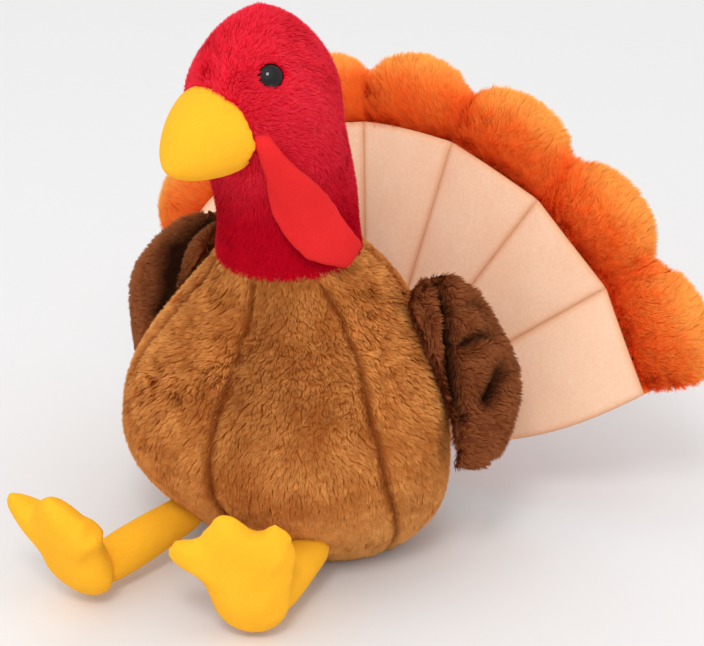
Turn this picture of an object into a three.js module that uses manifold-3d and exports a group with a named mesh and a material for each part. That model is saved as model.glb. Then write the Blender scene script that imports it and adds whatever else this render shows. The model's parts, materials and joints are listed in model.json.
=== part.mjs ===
// A seated plush turkey: a gored body on a flat seat, a red head and neck, a fleece beak and snood,
// a seven-feather tail fan, two cupped wings and two legs with three-toed feet.
// Millimetres, +Z up, the bird faces -Y, its left side is +X. The origin lies on the seat.

import * as THREE from 'three';
import { mergeVertices } from 'three/addons/utils/BufferGeometryUtils.js';
import Module from 'manifold-3d';

const wasm = await Module();
wasm.setup();

// Fabrics and fits
const seamGap = 0.3;
const fillGap = 0.8;
const plushThickness = 2.4;
const fleeceThickness = 1.5;
const seatThickness = 2.0;

// Body
const bellyHeight = 58;
const neckHeight = 137;
const bodyHalfWidth = 76.5;
const bodyHalfDepth = 61;
const seatHalfWidth = 45;
const seatHalfDepth = 36;
const neckRadius = 29;
const seatShift = 14;
const bellyShift = -7;
const neckShift = 0;
const shoulderSlope = 0.1;
const shoulderSetBack = 10;
const bodySeamDepth = 2.6;
const frontGoreSeatAngle = 74;
const frontGoreNeckAngle = 48;
const sideGoreEnd = 118;

// Head and neck
const neckRise = 66;
const crownRise = 42;
const headHalfWidth = 30;
const headHalfDepth = 33;
const headForward = 13;
const headSeamDepth = 1.2;
const headSeamSharpness = 8;
const neckSwell = 1.5;
const crownRoundness = 0.7;
const headTurn = 16;
const headTurnRise = 29;

// Beak
const beakDrop = 3.6;
const beakSetBack = 8.5;
const beakRadius = 19.8;
const beakLength = 32.5;
const beakSink = 14;
const beakDroop = 21;
const beakBulge = 1.7;
const beakRoundness = 0.7;

// Eyes and their lock washers
const eyeLift = 18;
const eyeAngle = 59;
const eyeRadius = 5;
const eyeRise = 4;
const eyeSink = 2.4;
const shankRadius = 2;
const shankLength = 11;
const washerRadius = 6.5;
const washerThickness = 1.6;

// Snood
const snoodTopDrop = 3;
const snoodShoulderGap = 2;
const snoodTopAngle = 55;
const snoodEndAngle = 72;
const snoodTopHalfWidth = 4.5;
const snoodHalfWidth = 13.6;
const snoodThickness = 5;
const snoodFlare = 6;
const snoodEdge = 1;
const snoodTipShare = 0.18;

// Tail fan
const tailHeight = 22.4;
const tailStandOff = 16.1;
const tailTilt = 11.8;
const tailTurn = 6.8;
const tailCurl = 20;
const featherAngle = 20;
const featherInnerRadius = 14;
const featherRadius = 140;
const lobeNotchReach = 22;
const lobeScallop = 12;
const lobeHalfThickness = 10;
const lobeRimHalfThickness = 3.5;
const tailSeamHalfThickness = 2.6;
const tailPuff = 4.5;
const tailPuffReach = 40;
const tailRootReach = 30;
const tailRootLean = 7.4;
const tailEdgeFlare = 24;

// Wings
const wingBelowNeck = 19;
const wingRootLength = 42;
const wingTopAngle = 90;
const wingBottomAngle = 96;
const leftWingSweep = 48;
const rightWingSweep = 31;
const wingLength = 89;
const wingDrop = 12;
const wingUpright = 0.05;
const wingWidth = 40;
const wingHook = 12;
const wingInnerFullness = 1.7;
const wingTipShare = 0.42;
const wingCup = 7;
const leftWingCurl = 0;
const rightWingCurl = 19.5;
const wingHalfThickness = 7;
const wingRootRadius = 4;
const wingSnug = 0.43;
const wingRimHalfThickness = 3;

// Legs
const hipHeight = 24;
const hipAngle = 27;
const hipRadius = 8.5;
const legRadius = 10;
const legEndRadius = 8;
const ankleHeight = 11.8;

// Feet
const footCentre = 17;
const footMeanRadius = 23;
const footOval = 5;
const sideToeReach = 16;
const middleToeReach = 5;
const toeSpread = 54;
const toeWidth = 15;
const heelHalfThickness = 10;
const toeHalfThickness = 7;
const footBend = { back: 8, front: 36 };
const rightLegReach = 45.4;
const rightLegSpread = 11.6;
const rightFootTurn = { out: 5, lean: 21, roll: 3 };
const leftLegReach = 33.4;
const leftLegSpread = 0.1;
const leftFootTurn = { out: 24, lean: 2, roll: -17 };

// Mesh steps
const goreSteps = 5;
const bodySteps = 10;
const headAround = 18;
const neckSteps = 5;
const crownSteps = 5;
const beakAround = 16;
const beakSteps = 7;
const snoodSteps = 9;
const featherSteps = 4;
const fanRings = 5;
const lobeSteps = 6;
const legAround = 12;
const eyeAround = 10;
const padAround = 24;
const padRings = 6;

// Fabric colours
const caramelPlush = { color: 0xc08a4e, roughness: 0.95, metalness: 0 };
const redPlush = { color: 0xc8142c, roughness: 0.95, metalness: 0 };
const brownPlush = { color: 0x5e3216, roughness: 0.95, metalness: 0 };
const orangePlush = { color: 0xf0883a, roughness: 0.95, metalness: 0 };
const peachVelour = { color: 0xecc6a8, roughness: 0.9, metalness: 0 };
const yellowFleece = { color: 0xf6bf35, roughness: 0.9, metalness: 0 };
const redFleece = { color: 0xd8282c, roughness: 0.9, metalness: 0 };
const fibreFill = { color: 0xf2f0ea, roughness: 1, metalness: 0 };
const blackPlastic = { color: 0x0c0a0a, roughness: 0.12, metalness: 0 };
const whitePlastic = { color: 0xe8e8e4, roughness: 0.5, metalness: 0 };

const toy = new THREE.Group();
const up = new THREE.Vector3(0, 0, 1);

// Small helpers

const rad = THREE.MathUtils.degToRad;

function mix(from, to, share) {
  return from + (to - from) * share;
}

function smooth(share) {
  const t = THREE.MathUtils.clamp(share, 0, 1);
  return t * t * (3 - 2 * t);
}

function signedVolume(points, index) {
  const a = new THREE.Vector3();
  const b = new THREE.Vector3();
  const c = new THREE.Vector3();
  let volume = 0;
  for (let i = 0; i < index.length; i += 3) {
    a.fromBufferAttribute(points, index[i]);
    b.fromBufferAttribute(points, index[i + 1]);
    c.fromBufferAttribute(points, index[i + 2]);
    volume += a.dot(b.cross(c)) / 6;
  }
  return volume;
}

// Moves every vertex of a stock shape to its place, welds what then meets and turns faces outwards.
function shaped(stock, place) {
  stock.deleteAttribute('normal');
  stock.deleteAttribute('uv');
  const loose = mergeVertices(stock, 1e-5);
  const points = loose.attributes.position;
  const point = new THREE.Vector3();
  for (let i = 0; i < points.count; i += 1) {
    place(point.fromBufferAttribute(points, i));
    points.setXYZ(i, point.x, point.y, point.z);
  }
  const welded = mergeVertices(loose, 1e-4);
  const old = welded.index.array;
  let kept = [];
  for (let i = 0; i < old.length; i += 3) {
    const [a, b, c] = [old[i], old[i + 1], old[i + 2]];
    if (a !== b && b !== c && c !== a) {
      kept.push(a, b, c);
    }
  }
  if (signedVolume(welded.attributes.position, kept) < 0) {
    kept = kept.reverse();
  }
  welded.setIndex(kept);
  return welded;
}

function toSolid(geometry) {
  const bare = geometry.clone();
  bare.deleteAttribute('normal');
  bare.deleteAttribute('uv');
  const welded = shaped(bare, () => {});
  return new wasm.Manifold(new wasm.Mesh({
    numProp: 3,
    vertProperties: new Float32Array(welded.attributes.position.array),
    triVerts: new Uint32Array(welded.index.array),
  }));
}

function toGeometry(solid) {
  const mesh = solid.getMesh();
  const geometry = new THREE.BufferGeometry();
  geometry.setAttribute('position', new THREE.BufferAttribute(new Float32Array(mesh.vertProperties), 3));
  geometry.setIndex(new THREE.BufferAttribute(new Uint32Array(mesh.triVerts), 1));
  return geometry;
}

// Keeps each hinge's point and axis with the model, for whoever poses it.
function hinge(name, point, axis) {
  toy.userData[name] = { point: point.clone(), axis: axis.clone().normalize() };
}

function add(parent, name, geometry, fabric) {
  const mesh = new THREE.Mesh(geometry, new THREE.MeshStandardMaterial(fabric));
  mesh.name = name;
  parent.add(mesh);
  return mesh;
}

// Body outline: a half oval down to the seat and sloped shoulders up to the neck, drawn in at the seams

const goreNames = ['front', 'side', 'back'];

function goreEdges(height) {
  return [0, mix(frontGoreSeatAngle, frontGoreNeckAngle, height / neckHeight), sideGoreEnd, 180];
}

function seatSize(widest, end, share) {
  return Math.sqrt(widest ** 2 - (widest ** 2 - end ** 2) * share ** 2);
}

function shoulderSize(widest, end, share) {
  const round = Math.cos(share * Math.PI / 2);
  const sloped = 1 - smooth(share);
  return mix(end, widest, mix(round, sloped, shoulderSlope));
}

function goreShare(angle, height) {
  const turn = Math.abs(angle);
  const edges = goreEdges(height);
  const gore = edges.findIndex((edge, i) => i > 0 && turn <= edge + 1e-6);
  return (turn - edges[gore - 1]) / (edges[gore] - edges[gore - 1]);
}

function bodyPoint(angle, height, inset) {
  const below = height < bellyHeight;
  const share = below ? (bellyHeight - height) / bellyHeight
    : (height - bellyHeight) / (neckHeight - bellyHeight);
  const width = below ? seatSize(bodyHalfWidth, seatHalfWidth, share)
    : shoulderSize(bodyHalfWidth, neckRadius, share);
  const depth = below ? seatSize(bodyHalfDepth, seatHalfDepth, share)
    : shoulderSize(bodyHalfDepth, neckRadius, share);
  const setBack = below ? 0 : shoulderSetBack * Math.sin(Math.PI * share ** 2);
  const shift = mix(bellyShift, below ? seatShift : neckShift, smooth(share)) + setBack;
  const groove = bodySeamDepth * Math.abs(Math.cos(Math.PI * goreShare(angle, height))) ** 3 * (1 - share ** 4);
  const drawn = inset + groove;
  return new THREE.Vector3(
    (width - drawn) * Math.sin(rad(angle)),
    shift - (depth - drawn) * Math.cos(rad(angle)),
    height,
  );
}

function makeBodyPanels() {
  const gapAngle = THREE.MathUtils.radToDeg(seamGap / 2 / (neckRadius - plushThickness));
  for (const [side, sign] of [['left', 1], ['right', -1]]) {
    goreNames.forEach((name, gore) => {
      const panel = shaped(new THREE.BoxGeometry(1, 1, 1, goreSteps, bodySteps, 1), (p) => {
        const height = neckHeight * (p.y + 0.5);
        const edges = goreEdges(height);
        const angle = sign * mix(edges[gore] + gapAngle, edges[gore + 1] - gapAngle, p.x + 0.5);
        p.copy(bodyPoint(angle, height, p.z > 0 ? 0 : plushThickness));
      });
      add(toy, `body_${name}_${side}_panel`, panel, caramelPlush);
    });
  }
}

function makeBodyInside() {
  const around = goreSteps * 6;
  const fillInset = plushThickness + fillGap;
  const floor = seatThickness + seamGap;
  const fill = shaped(new THREE.CylinderGeometry(1, 1, 1, around, bodySteps), (p) => {
    const reach = Math.hypot(p.x, p.z);
    const step = Math.round(Math.atan2(p.x, p.z) / (2 * Math.PI) * around);
    const turn = Math.abs(step);
    const gore = Math.min(Math.floor(turn / goreSteps), goreNames.length - 1);
    const height = neckHeight * (p.y + 0.5);
    const edges = goreEdges(height);
    const angle = Math.sign(step) * mix(edges[gore], edges[gore + 1], turn / goreSteps - gore);
    const skin = bodyPoint(angle, height, fillInset);
    if (height < floor) {
      skin.lerp(bodyPoint(angle, neckHeight / bodySteps, fillInset), floor * bodySteps / neckHeight);
    }
    const axis = new THREE.Vector3(0, mix(seatShift, neckShift, p.y + 0.5), skin.z);
    p.lerpVectors(axis, skin, Math.min(reach, 1));
  });
  add(toy, 'body_stuffing', fill, fibreFill);

  const margin = plushThickness + seamGap;
  const seat = shaped(new THREE.CylinderGeometry(1, 1, 1, around, 1), (p) => {
    p.set(p.x * (seatHalfWidth - margin), seatShift - p.z * (seatHalfDepth - margin),
      seatThickness * (p.y + 0.5));
  });
  add(toy, 'body_seat_panel', seat, caramelPlush);
}

// Head and neck: ovals that grow forward up the neck, then close in a crown. The neck is twisted.

const neckBase = neckHeight + seamGap;
const headWideHeight = neckHeight + neckRise;
const headTopHeight = headWideHeight + crownRise;
const headTurnHeight = neckHeight + headTurnRise;
const eyeHeight = headWideHeight + eyeLift;
const beakHeight = headWideHeight - beakDrop;
const beakForward = headForward + headHalfDepth - beakSetBack;

function headPoint(angle, share, inset) {
  const neckShare = neckSteps / (neckSteps + crownSteps);
  const cosine = Math.cos(rad(angle));
  const groove = headSeamDepth * Math.abs(cosine) ** headSeamSharpness;
  if (share <= neckShare) {
    const rise = share / neckShare;
    const grow = smooth(rise ** neckSwell);
    const drawn = inset + groove * smooth(rise * 3);
    return new THREE.Vector3(
      (mix(neckRadius, headHalfWidth, grow) - drawn) * Math.sin(rad(angle)),
      mix(neckShift, -headForward, grow) - (mix(neckRadius, headHalfDepth, grow) - drawn) * cosine,
      mix(neckBase, headWideHeight, rise),
    );
  }
  const climb = (share - neckShare) / (1 - neckShare);
  const close = Math.cos(climb * Math.PI / 2) ** crownRoundness;
  return new THREE.Vector3(
    (headHalfWidth - inset - groove) * close * Math.sin(rad(angle)),
    -headForward - (headHalfDepth - inset - groove) * close * cosine,
    mix(headWideHeight, headTopHeight - inset, climb),
  );
}

function headForm(inset) {
  const steps = neckSteps + crownSteps;
  return toSolid(shaped(new THREE.CylinderGeometry(1, 1, 1, headAround, steps), (p) => {
    const reach = Math.min(Math.hypot(p.x, p.z), 1);
    const angle = THREE.MathUtils.radToDeg(Math.atan2(p.x, p.z));
    const skin = headPoint(angle, p.y + 0.5, inset);
    const axis = new THREE.Vector3(0, mix(neckShift, -headForward, p.y + 0.5), skin.z);
    p.lerpVectors(axis, skin, reach);
  }));
}

function headTwist(height) {
  return -rad(headTurn) * smooth((height - neckBase) / (headTurnHeight - neckBase));
}

function twisted(geometry) {
  return shaped(geometry, (p) => {
    p.y -= neckShift;
    p.applyAxisAngle(up, headTwist(p.z));
    p.y += neckShift;
  });
}

function faceShare(height) {
  const neckShare = neckSteps / (neckSteps + crownSteps);
  return neckShare + (1 - neckShare) * (height - headWideHeight) / (headTopHeight - headWideHeight);
}

function eyeFrame(sign) {
  const share = faceShare(eyeHeight);
  const spot = headPoint(sign * eyeAngle, share, 0);
  const across = headPoint(sign * (eyeAngle + 1), share, 0).sub(headPoint(sign * (eyeAngle - 1), share, 0));
  const along = headPoint(sign * eyeAngle, share + 0.01, 0).sub(headPoint(sign * eyeAngle, share - 0.01, 0));
  const outward = across.cross(along).normalize().multiplyScalar(sign);
  const turn = new THREE.Quaternion().setFromUnitVectors(new THREE.Vector3(0, 1, 0), outward);
  return new THREE.Matrix4().compose(spot, turn, new THREE.Vector3(1, 1, 1));
}

function eyeShape(grow) {
  const dome = new THREE.EllipseCurve(0, -eyeSink, eyeRadius + grow, eyeRise + grow, Math.PI / 2, 0, true);
  const profile = dome.getPoints(4);
  profile[0].x = 0;
  const shank = shankRadius + grow;
  profile.push(new THREE.Vector2(eyeRadius + grow, -eyeSink - grow));
  profile.push(new THREE.Vector2(shank, -eyeSink - grow));
  profile.push(new THREE.Vector2(shank, -shankLength - grow));
  profile.push(new THREE.Vector2(0, -shankLength - grow));
  const corners = profile.filter((p, i) => i === 0 || p.distanceTo(profile[i - 1]) > 1e-4);
  return new THREE.LatheGeometry(corners, eyeAround);
}

const washerTop = -plushThickness - 2 * fillGap;
const washerBottom = washerTop - washerThickness;

function ringProfile(bore, radius, bottom, top) {
  const corners = [[bore, bottom], [radius, bottom], [radius, top], [bore, top]];
  return corners.map(([x, y]) => new THREE.Vector2(x, y));
}

function washerShape() {
  const profile = ringProfile(shankRadius + seamGap, washerRadius, washerBottom, washerTop);
  return new THREE.LatheGeometry(profile.concat(profile[0]), eyeAround);
}

function washerPocket() {
  const profile = ringProfile(0, washerRadius + seamGap, washerBottom - seamGap, eyeRise);
  return new THREE.LatheGeometry(profile, eyeAround);
}

function beakForm(inset) {
  const profile = [new THREE.Vector2(0, -beakSink), new THREE.Vector2(beakRadius - inset, -beakSink)];
  for (let i = 0; i < beakSteps; i += 1) {
    const share = i / beakSteps;
    const radius = (beakRadius - inset) * (1 - share ** beakBulge) ** beakRoundness;
    profile.push(new THREE.Vector2(radius, (beakLength - inset) * share));
  }
  profile.push(new THREE.Vector2(0, beakLength - inset));
  const cone = new THREE.LatheGeometry(profile, beakAround);
  cone.rotateX(Math.PI + rad(beakDroop));
  cone.translate(0, -beakForward, beakHeight);
  return toSolid(cone);
}

function makeHead() {
  const outer = headForm(0);
  const outerGrown = headForm(-seamGap);
  const lining = headForm(plushThickness);
  let fill = headForm(plushThickness + fillGap);
  let shell = outer.subtract(lining);
  const parts = [];
  for (const [side, sign] of [['left', 1], ['right', -1]]) {
    const frame = eyeFrame(sign);
    shell = shell.subtract(toSolid(eyeShape(seamGap).applyMatrix4(frame)));
    fill = fill.subtract(toSolid(eyeShape(seamGap).applyMatrix4(frame)));
    fill = fill.subtract(toSolid(washerPocket().applyMatrix4(frame)));
    parts.push([`${side}_eye`, eyeShape(0).applyMatrix4(frame), blackPlastic]);
    parts.push([`${side}_eye_washer`, washerShape().applyMatrix4(frame), whitePlastic]);
  }
  const roomy = 2 * headTopHeight;
  for (const [side, sign] of [['left', 1], ['right', -1]]) {
    const half = new THREE.BoxGeometry(roomy, roomy, roomy);
    half.translate(sign * (roomy + seamGap) / 2, 0, 0);
    parts.push([`head_${side}_panel`, toGeometry(shell.intersect(toSolid(half))), redPlush]);
  }
  parts.push(['head_stuffing', toGeometry(fill), fibreFill]);
  const cover = beakForm(0).subtract(beakForm(fleeceThickness)).subtract(outerGrown);
  const beakFill = beakForm(fleeceThickness + fillGap).subtract(outerGrown);
  parts.push(['beak_cover', toGeometry(cover), yellowFleece]);
  parts.push(['beak_stuffing', toGeometry(beakFill), fibreFill]);
  for (const [name, geometry, fabric] of parts) {
    add(toy, name, twisted(geometry), fabric);
  }
  hinge('neck', new THREE.Vector3(0, neckShift, neckHeight), up);
}

// Snood: a padded strip that hangs from beside the beak, down the neck, and kicks out on the shoulder

const snoodTopHeight = headWideHeight - snoodTopDrop;
const snoodEndHeight = neckHeight + snoodShoulderGap;

function snoodShare(height) {
  const neckShare = neckSteps / (neckSteps + crownSteps);
  return neckShare * (height - neckBase) / (headWideHeight - neckBase);
}

function makeSnood() {
  const strip = shaped(new THREE.BoxGeometry(1, 1, 1, 4, snoodSteps, 1), (p) => {
    const drop = 0.5 - p.y;
    const tip = Math.max((drop - 1) / snoodTipShare + 1, 0);
    const round = Math.sqrt(Math.max(1 - tip ** 2, 0.02));
    const halfWidth = mix(snoodTopHalfWidth, snoodHalfWidth, smooth(drop * 1.6)) * round;
    const height = mix(snoodTopHeight, snoodEndHeight, drop);
    const crown = Math.sqrt(1 - (2 * p.x) ** 2 * 0.75) * Math.sin(Math.PI * mix(0.12, 0.95, drop));
    const lift = p.z > 0 ? mix(snoodEdge, snoodThickness, crown) : 0;
    const angle = mix(snoodTopAngle, snoodEndAngle, drop);
    const reach = mix(headHalfWidth, neckRadius, drop);
    const spread = THREE.MathUtils.radToDeg(2 * p.x * halfWidth / reach);
    const standOff = seamGap + lift + snoodFlare * smooth(drop * 2 - 1);
    p.copy(headPoint(angle + spread, snoodShare(height), -standOff));
  });
  add(toy, 'snood', twisted(strip), redFleece);
  const topShare = snoodShare(snoodTopHeight);
  const topEdge = [-1, 1].map((step) => headPoint(snoodTopAngle + step, topShare, -seamGap));
  const turned = topEdge.map((p) => p.applyAxisAngle(up, headTwist(p.z)));
  const middle = turned[0].clone().add(turned[1]).multiplyScalar(0.5);
  hinge('snood', middle, turned[0].sub(turned[1]));
}

// Tail fan: feathers side by side about one point low on the back, each a panel with a puffed lobe

const feathers = 7;
const battingInset = 2.5 * fillGap;
const fanHalfAngle = feathers * featherAngle / 2;
const lobeNotchRadius = featherRadius + lobeNotchReach;
const lobeRadius = lobeNotchRadius + lobeScallop;

function featherBow(angle) {
  const across = (angle + fanHalfAngle) / featherAngle;
  return Math.sin(Math.PI * (across - Math.floor(Math.min(across, feathers - 1e-6)))) ** 0.8;
}

function featherHalfThickness(angle, radius) {
  const swell = Math.sin(Math.PI * Math.min((radius - featherInnerRadius) / tailPuffReach, 0.5));
  return tailSeamHalfThickness + tailPuff * featherBow(angle) * swell;
}

function fanAngle(angle, radius) {
  const past = Math.max(Math.abs(angle) - fanHalfAngle + featherAngle, 0) / featherAngle;
  const flare = tailEdgeFlare * Math.max(1 - radius / featherRadius, 0) * past;
  return Math.sign(angle) * (Math.abs(angle) + flare);
}

function fanPoint(angle, radius, depth) {
  const turn = rad(fanAngle(angle, radius));
  const side = radius * Math.sin(turn);
  return new THREE.Vector3(side, depth + tailCurl * (side / lobeRadius) ** 2, radius * Math.cos(turn));
}

function rootBoss(angle, radius) {
  return tailRootDepth * smooth(1 - (radius - featherInnerRadius) / tailRootReach) * Math.cos(rad(angle));
}

function rearmost(lowest, highest) {
  const steps = 20;
  let rear = -Infinity;
  for (let i = 0; i <= steps; i += 1) {
    rear = Math.max(rear, bodyPoint(180, mix(lowest, highest, i / steps), 0).y);
  }
  return rear;
}

const bodyRear = rearmost(tailHeight, bellyHeight);
const tailSetback = bodyRear + tailStandOff;
const tailRootGap = tailStandOff - tailSeamHalfThickness - plushThickness - seamGap;
const tailRootDepth = tailRootGap + tailRootLean;

function lobeOuterRadius(angle) {
  return mix(lobeNotchRadius, lobeRadius, featherBow(angle) ** 0.7);
}

function makeTail() {
  const fan = new THREE.Group();
  fan.position.set(0, tailSetback, tailHeight);
  fan.rotation.set(-rad(tailTilt), 0, -rad(tailTurn), 'ZYX');
  toy.add(fan);
  const fanSteps = feathers * featherSteps;
  const batting = shaped(new THREE.BoxGeometry(1, 1, 1, fanSteps, fanRings, 1), (p) => {
    const angle = 2 * p.x * fanHalfAngle;
    const radius = mix(featherInnerRadius, featherRadius, p.y + 0.5);
    const half = featherHalfThickness(angle, radius) - battingInset;
    p.copy(fanPoint(angle, radius, p.z > 0 ? -half - rootBoss(angle, radius) : half));
  });
  add(fan, 'tail_batting', batting, fibreFill);

  const back = shaped(new THREE.BoxGeometry(1, 1, 1, fanSteps, fanRings, 1), (p) => {
    const angle = 2 * p.x * fanHalfAngle;
    const radius = mix(featherInnerRadius, featherRadius, p.y + 0.5);
    const half = featherHalfThickness(angle, radius);
    p.copy(fanPoint(angle, radius, p.z > 0 ? half : half + plushThickness));
  });
  add(fan, 'tail_back_panel', back, orangePlush);

  for (let i = 0; i < feathers; i += 1) {
    const middle = (i + 0.5) * featherAngle - fanHalfAngle;
    const panel = shaped(new THREE.BoxGeometry(1, 1, 1, featherSteps, fanRings, 1), (p) => {
      const radius = mix(featherInnerRadius, featherRadius, p.y + 0.5);
      const gapAngle = THREE.MathUtils.radToDeg(seamGap / 2 / radius);
      const angle = middle + 2 * p.x * (featherAngle / 2 - gapAngle);
      const half = featherHalfThickness(angle, radius) + rootBoss(angle, radius);
      p.copy(fanPoint(angle, radius, p.z > 0 ? -half - plushThickness : -half));
    });
    add(fan, `tail_panel_${i + 1}`, panel, peachVelour);

    const lobe = shaped(new THREE.BoxGeometry(1, 1, 1, lobeSteps, fanRings, 1), (p) => {
      const gapAngle = THREE.MathUtils.radToDeg(seamGap / 2 / featherRadius);
      const angle = middle + 2 * p.x * (featherAngle / 2 - gapAngle);
      const rise = p.y + 0.5;
      const radius = mix(featherRadius + seamGap, lobeOuterRadius(angle), rise);
      const bow = featherBow(angle) * Math.sin(Math.PI * mix(0.12, 1, rise)) ** 0.6;
      const half = mix(lobeRimHalfThickness, lobeHalfThickness, bow);
      p.copy(fanPoint(angle, radius, p.z > 0 ? -half : half));
    });
    add(fan, `tail_lobe_${i + 1}`, lobe, orangePlush);
  }
  fan.updateMatrix();
  const rootFront = tailSeamHalfThickness + plushThickness + tailRootDepth;
  const rootSpot = new THREE.Vector3(0, -rootFront, 0).applyMatrix4(fan.matrix);
  hinge('tail', rootSpot, new THREE.Vector3(-1, 0, 0).applyEuler(fan.rotation));
}

// A pad of two covers and a filling: the sphere's rim becomes the outline, its halves the two faces

function padCover(outline, thickness, middle, wall, face) {
  return shaped(new THREE.SphereGeometry(1, padAround, padRings).rotateX(Math.PI / 2), (p) => {
    const inner = p.z < -1e-6;
    const inset = inner ? wall : 0;
    const flat = outline(p.x, p.y, inset);
    const half = thickness(flat.x, flat.y) - inset;
    const rise = half * Math.abs(p.z) + seamGap / 2;
    p.set(flat.x, flat.y, middle(flat.x, flat.y) + face * rise);
  });
}

function padFill(outline, thickness, middle, inset) {
  return shaped(new THREE.SphereGeometry(1, padAround, padRings).rotateX(Math.PI / 2), (p) => {
    const flat = outline(p.x, p.y, inset);
    const half = thickness(flat.x, flat.y) - inset;
    p.set(flat.x, flat.y, middle(flat.x, flat.y) + half * p.z);
  });
}

// Wings: cupped pads with a straight root edge. Local x runs out from the root, y up along it.

const wingRootTop = neckHeight - wingBelowNeck;
const wingRootBottom = wingRootTop - wingRootLength;

function wingOutline(x, y, inset) {
  const halfLength = wingLength / 2 - inset;
  const across = Math.sqrt(Math.max(1 - y * y, 0));
  const share = across > 1e-6 ? (x / across + 1) / 2 : 0.5;
  const bowed = across ** 0.8;
  const innerEdge = wingWidth * wingTipShare * (1 - Math.min(bowed * wingInnerFullness, 1)) - wingRootRadius;
  const outerEdge = wingWidth * mix(wingTipShare, 1, bowed) - wingRootRadius;
  const drawn = inset * bowed;
  const hook = wingHook * Math.max(-y, 0) ** 2;
  return new THREE.Vector2(
    mix(innerEdge + drawn, outerEdge - drawn, share) - hook, halfLength * y - wingDrop,
  );
}

function wingMiddle(x, y, curl) {
  const reach = ((x + wingRootRadius) / wingWidth - 0.5) * 2;
  const along = (y + wingDrop) / wingLength * 2;
  const cup = wingCup * Math.max(1 - reach ** 2 - along ** 2 * 0.6, -0.4);
  return cup + curl * Math.max(-along, 0) ** 2;
}

function wingThickness(x) {
  return mix(wingRimHalfThickness, wingHalfThickness, smooth(2 * (x + wingRootRadius) / wingWidth));
}

function bodyNormal(angle, height) {
  const around = bodyPoint(angle + 1, height, 0).sub(bodyPoint(angle - 1, height, 0));
  const rise = bodyPoint(angle, height + 1, 0).sub(bodyPoint(angle, height - 1, 0));
  return around.cross(rise).normalize();
}

function wingFrame(sign, sweep) {
  const rootSpot = (share) => bodyPoint(
    sign * mix(wingBottomAngle, wingTopAngle, share), mix(wingRootBottom, wingRootTop, share), 0,
  );
  const root = rootSpot(0).add(rootSpot(1)).multiplyScalar(0.5);
  const rootUp = rootSpot(1).sub(rootSpot(0)).normalize().lerp(up, wingUpright).normalize();
  const offBody = bodyNormal(sign * (wingTopAngle + wingBottomAngle) / 2, (wingRootTop + wingRootBottom) / 2);
  offBody.addScaledVector(rootUp, -offBody.dot(rootUp)).normalize();
  const outward = offBody.clone().applyAxisAngle(rootUp, sign * rad(sweep));
  const back = rootUp.clone().cross(outward).multiplyScalar(sign);
  const steps = 10;
  let bulge = 0;
  for (let i = 0; i <= steps; i += 1) {
    bulge = Math.max(bulge, rootSpot(i / steps).sub(root).dot(offBody));
  }
  root.addScaledVector(offBody, bulge + wingRootRadius + seamGap - wingSnug);
  return { root, rootUp, outward, back };
}

function makeWings() {
  for (const [side, sign, sweep, curl] of [
    ['left', 1, leftWingSweep, leftWingCurl], ['right', -1, rightWingSweep, rightWingCurl],
  ]) {
    const { root, rootUp, outward, back } = wingFrame(sign, sweep);
    const wing = new THREE.Group();
    const faceBack = sign * -1;
    wing.quaternion.setFromRotationMatrix(new THREE.Matrix4().makeBasis(
      outward, rootUp, back.clone().multiplyScalar(faceBack),
    ));
    wing.position.copy(root);
    toy.add(wing);
    const middle = (x, y) => faceBack * wingMiddle(x, y, curl);
    const backCover = padCover(wingOutline, wingThickness, middle, plushThickness, faceBack);
    const frontCover = padCover(wingOutline, wingThickness, middle, plushThickness, -faceBack);
    add(wing, `${side}_wing_back`, backCover, brownPlush);
    add(wing, `${side}_wing_front`, frontCover, brownPlush);
    const fill = padFill(wingOutline, wingThickness, middle, plushThickness + 2 * fillGap);
    add(wing, `${side}_wing_batting`, fill, fibreFill);
    hinge(`${side}_wing`, root, rootUp.multiplyScalar(-sign));
  }
}

// Feet: three-toed pads. Local x runs across the toes, y up the foot from the ankle, z out of the sole.

function footOutline(x, y, inset) {
  const reach = Math.hypot(x, y);
  const turn = THREE.MathUtils.radToDeg(Math.atan2(x, y));
  let radius = footMeanRadius + footOval * Math.cos(rad(2 * turn));
  for (const [at, toe] of [[-toeSpread, sideToeReach], [0, middleToeReach], [toeSpread, sideToeReach]]) {
    radius += toe * Math.exp(-(((turn - at) / toeWidth) ** 2));
  }
  const scale = reach * (radius - inset);
  return new THREE.Vector2(scale * Math.sin(rad(turn)), footCentre + scale * Math.cos(rad(turn)));
}

function footThickness(x, y) {
  const heel = footCentre - footMeanRadius;
  return mix(heelHalfThickness, toeHalfThickness, smooth((y - heel) / (2 * footMeanRadius)));
}

function flatMiddle() {
  return 0;
}

function footTurn(sign, pose) {
  const turnOut = new THREE.Quaternion().setFromAxisAngle(up, sign * rad(pose.out));
  const lean = new THREE.Quaternion().setFromAxisAngle(new THREE.Vector3(1, 0, 0), rad(90 + pose.lean));
  const roll = new THREE.Quaternion().setFromAxisAngle(new THREE.Vector3(0, 0, 1), -sign * rad(pose.roll));
  return turnOut.multiply(lean).multiply(roll);
}

function hipSpot(sign) {
  const spot = bodyPoint(sign * hipAngle, hipHeight, 0);
  return spot.addScaledVector(bodyNormal(sign * hipAngle, hipHeight), hipRadius + seamGap);
}

function legProfile(length, inset) {
  const ball = hipRadius - inset;
  const root = new THREE.EllipseCurve(0, 0, ball, ball, -Math.PI / 2, 0).getPoints(3);
  root[0].x = 0;
  const swell = new THREE.QuadraticBezierCurve(
    new THREE.Vector2(ball, 0),
    new THREE.Vector2(2 * legRadius - (hipRadius + legEndRadius) / 2 - inset, length / 2),
    new THREE.Vector2(legEndRadius - inset, length),
  );
  return root.concat(swell.getPoints(4).slice(1));
}

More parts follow.
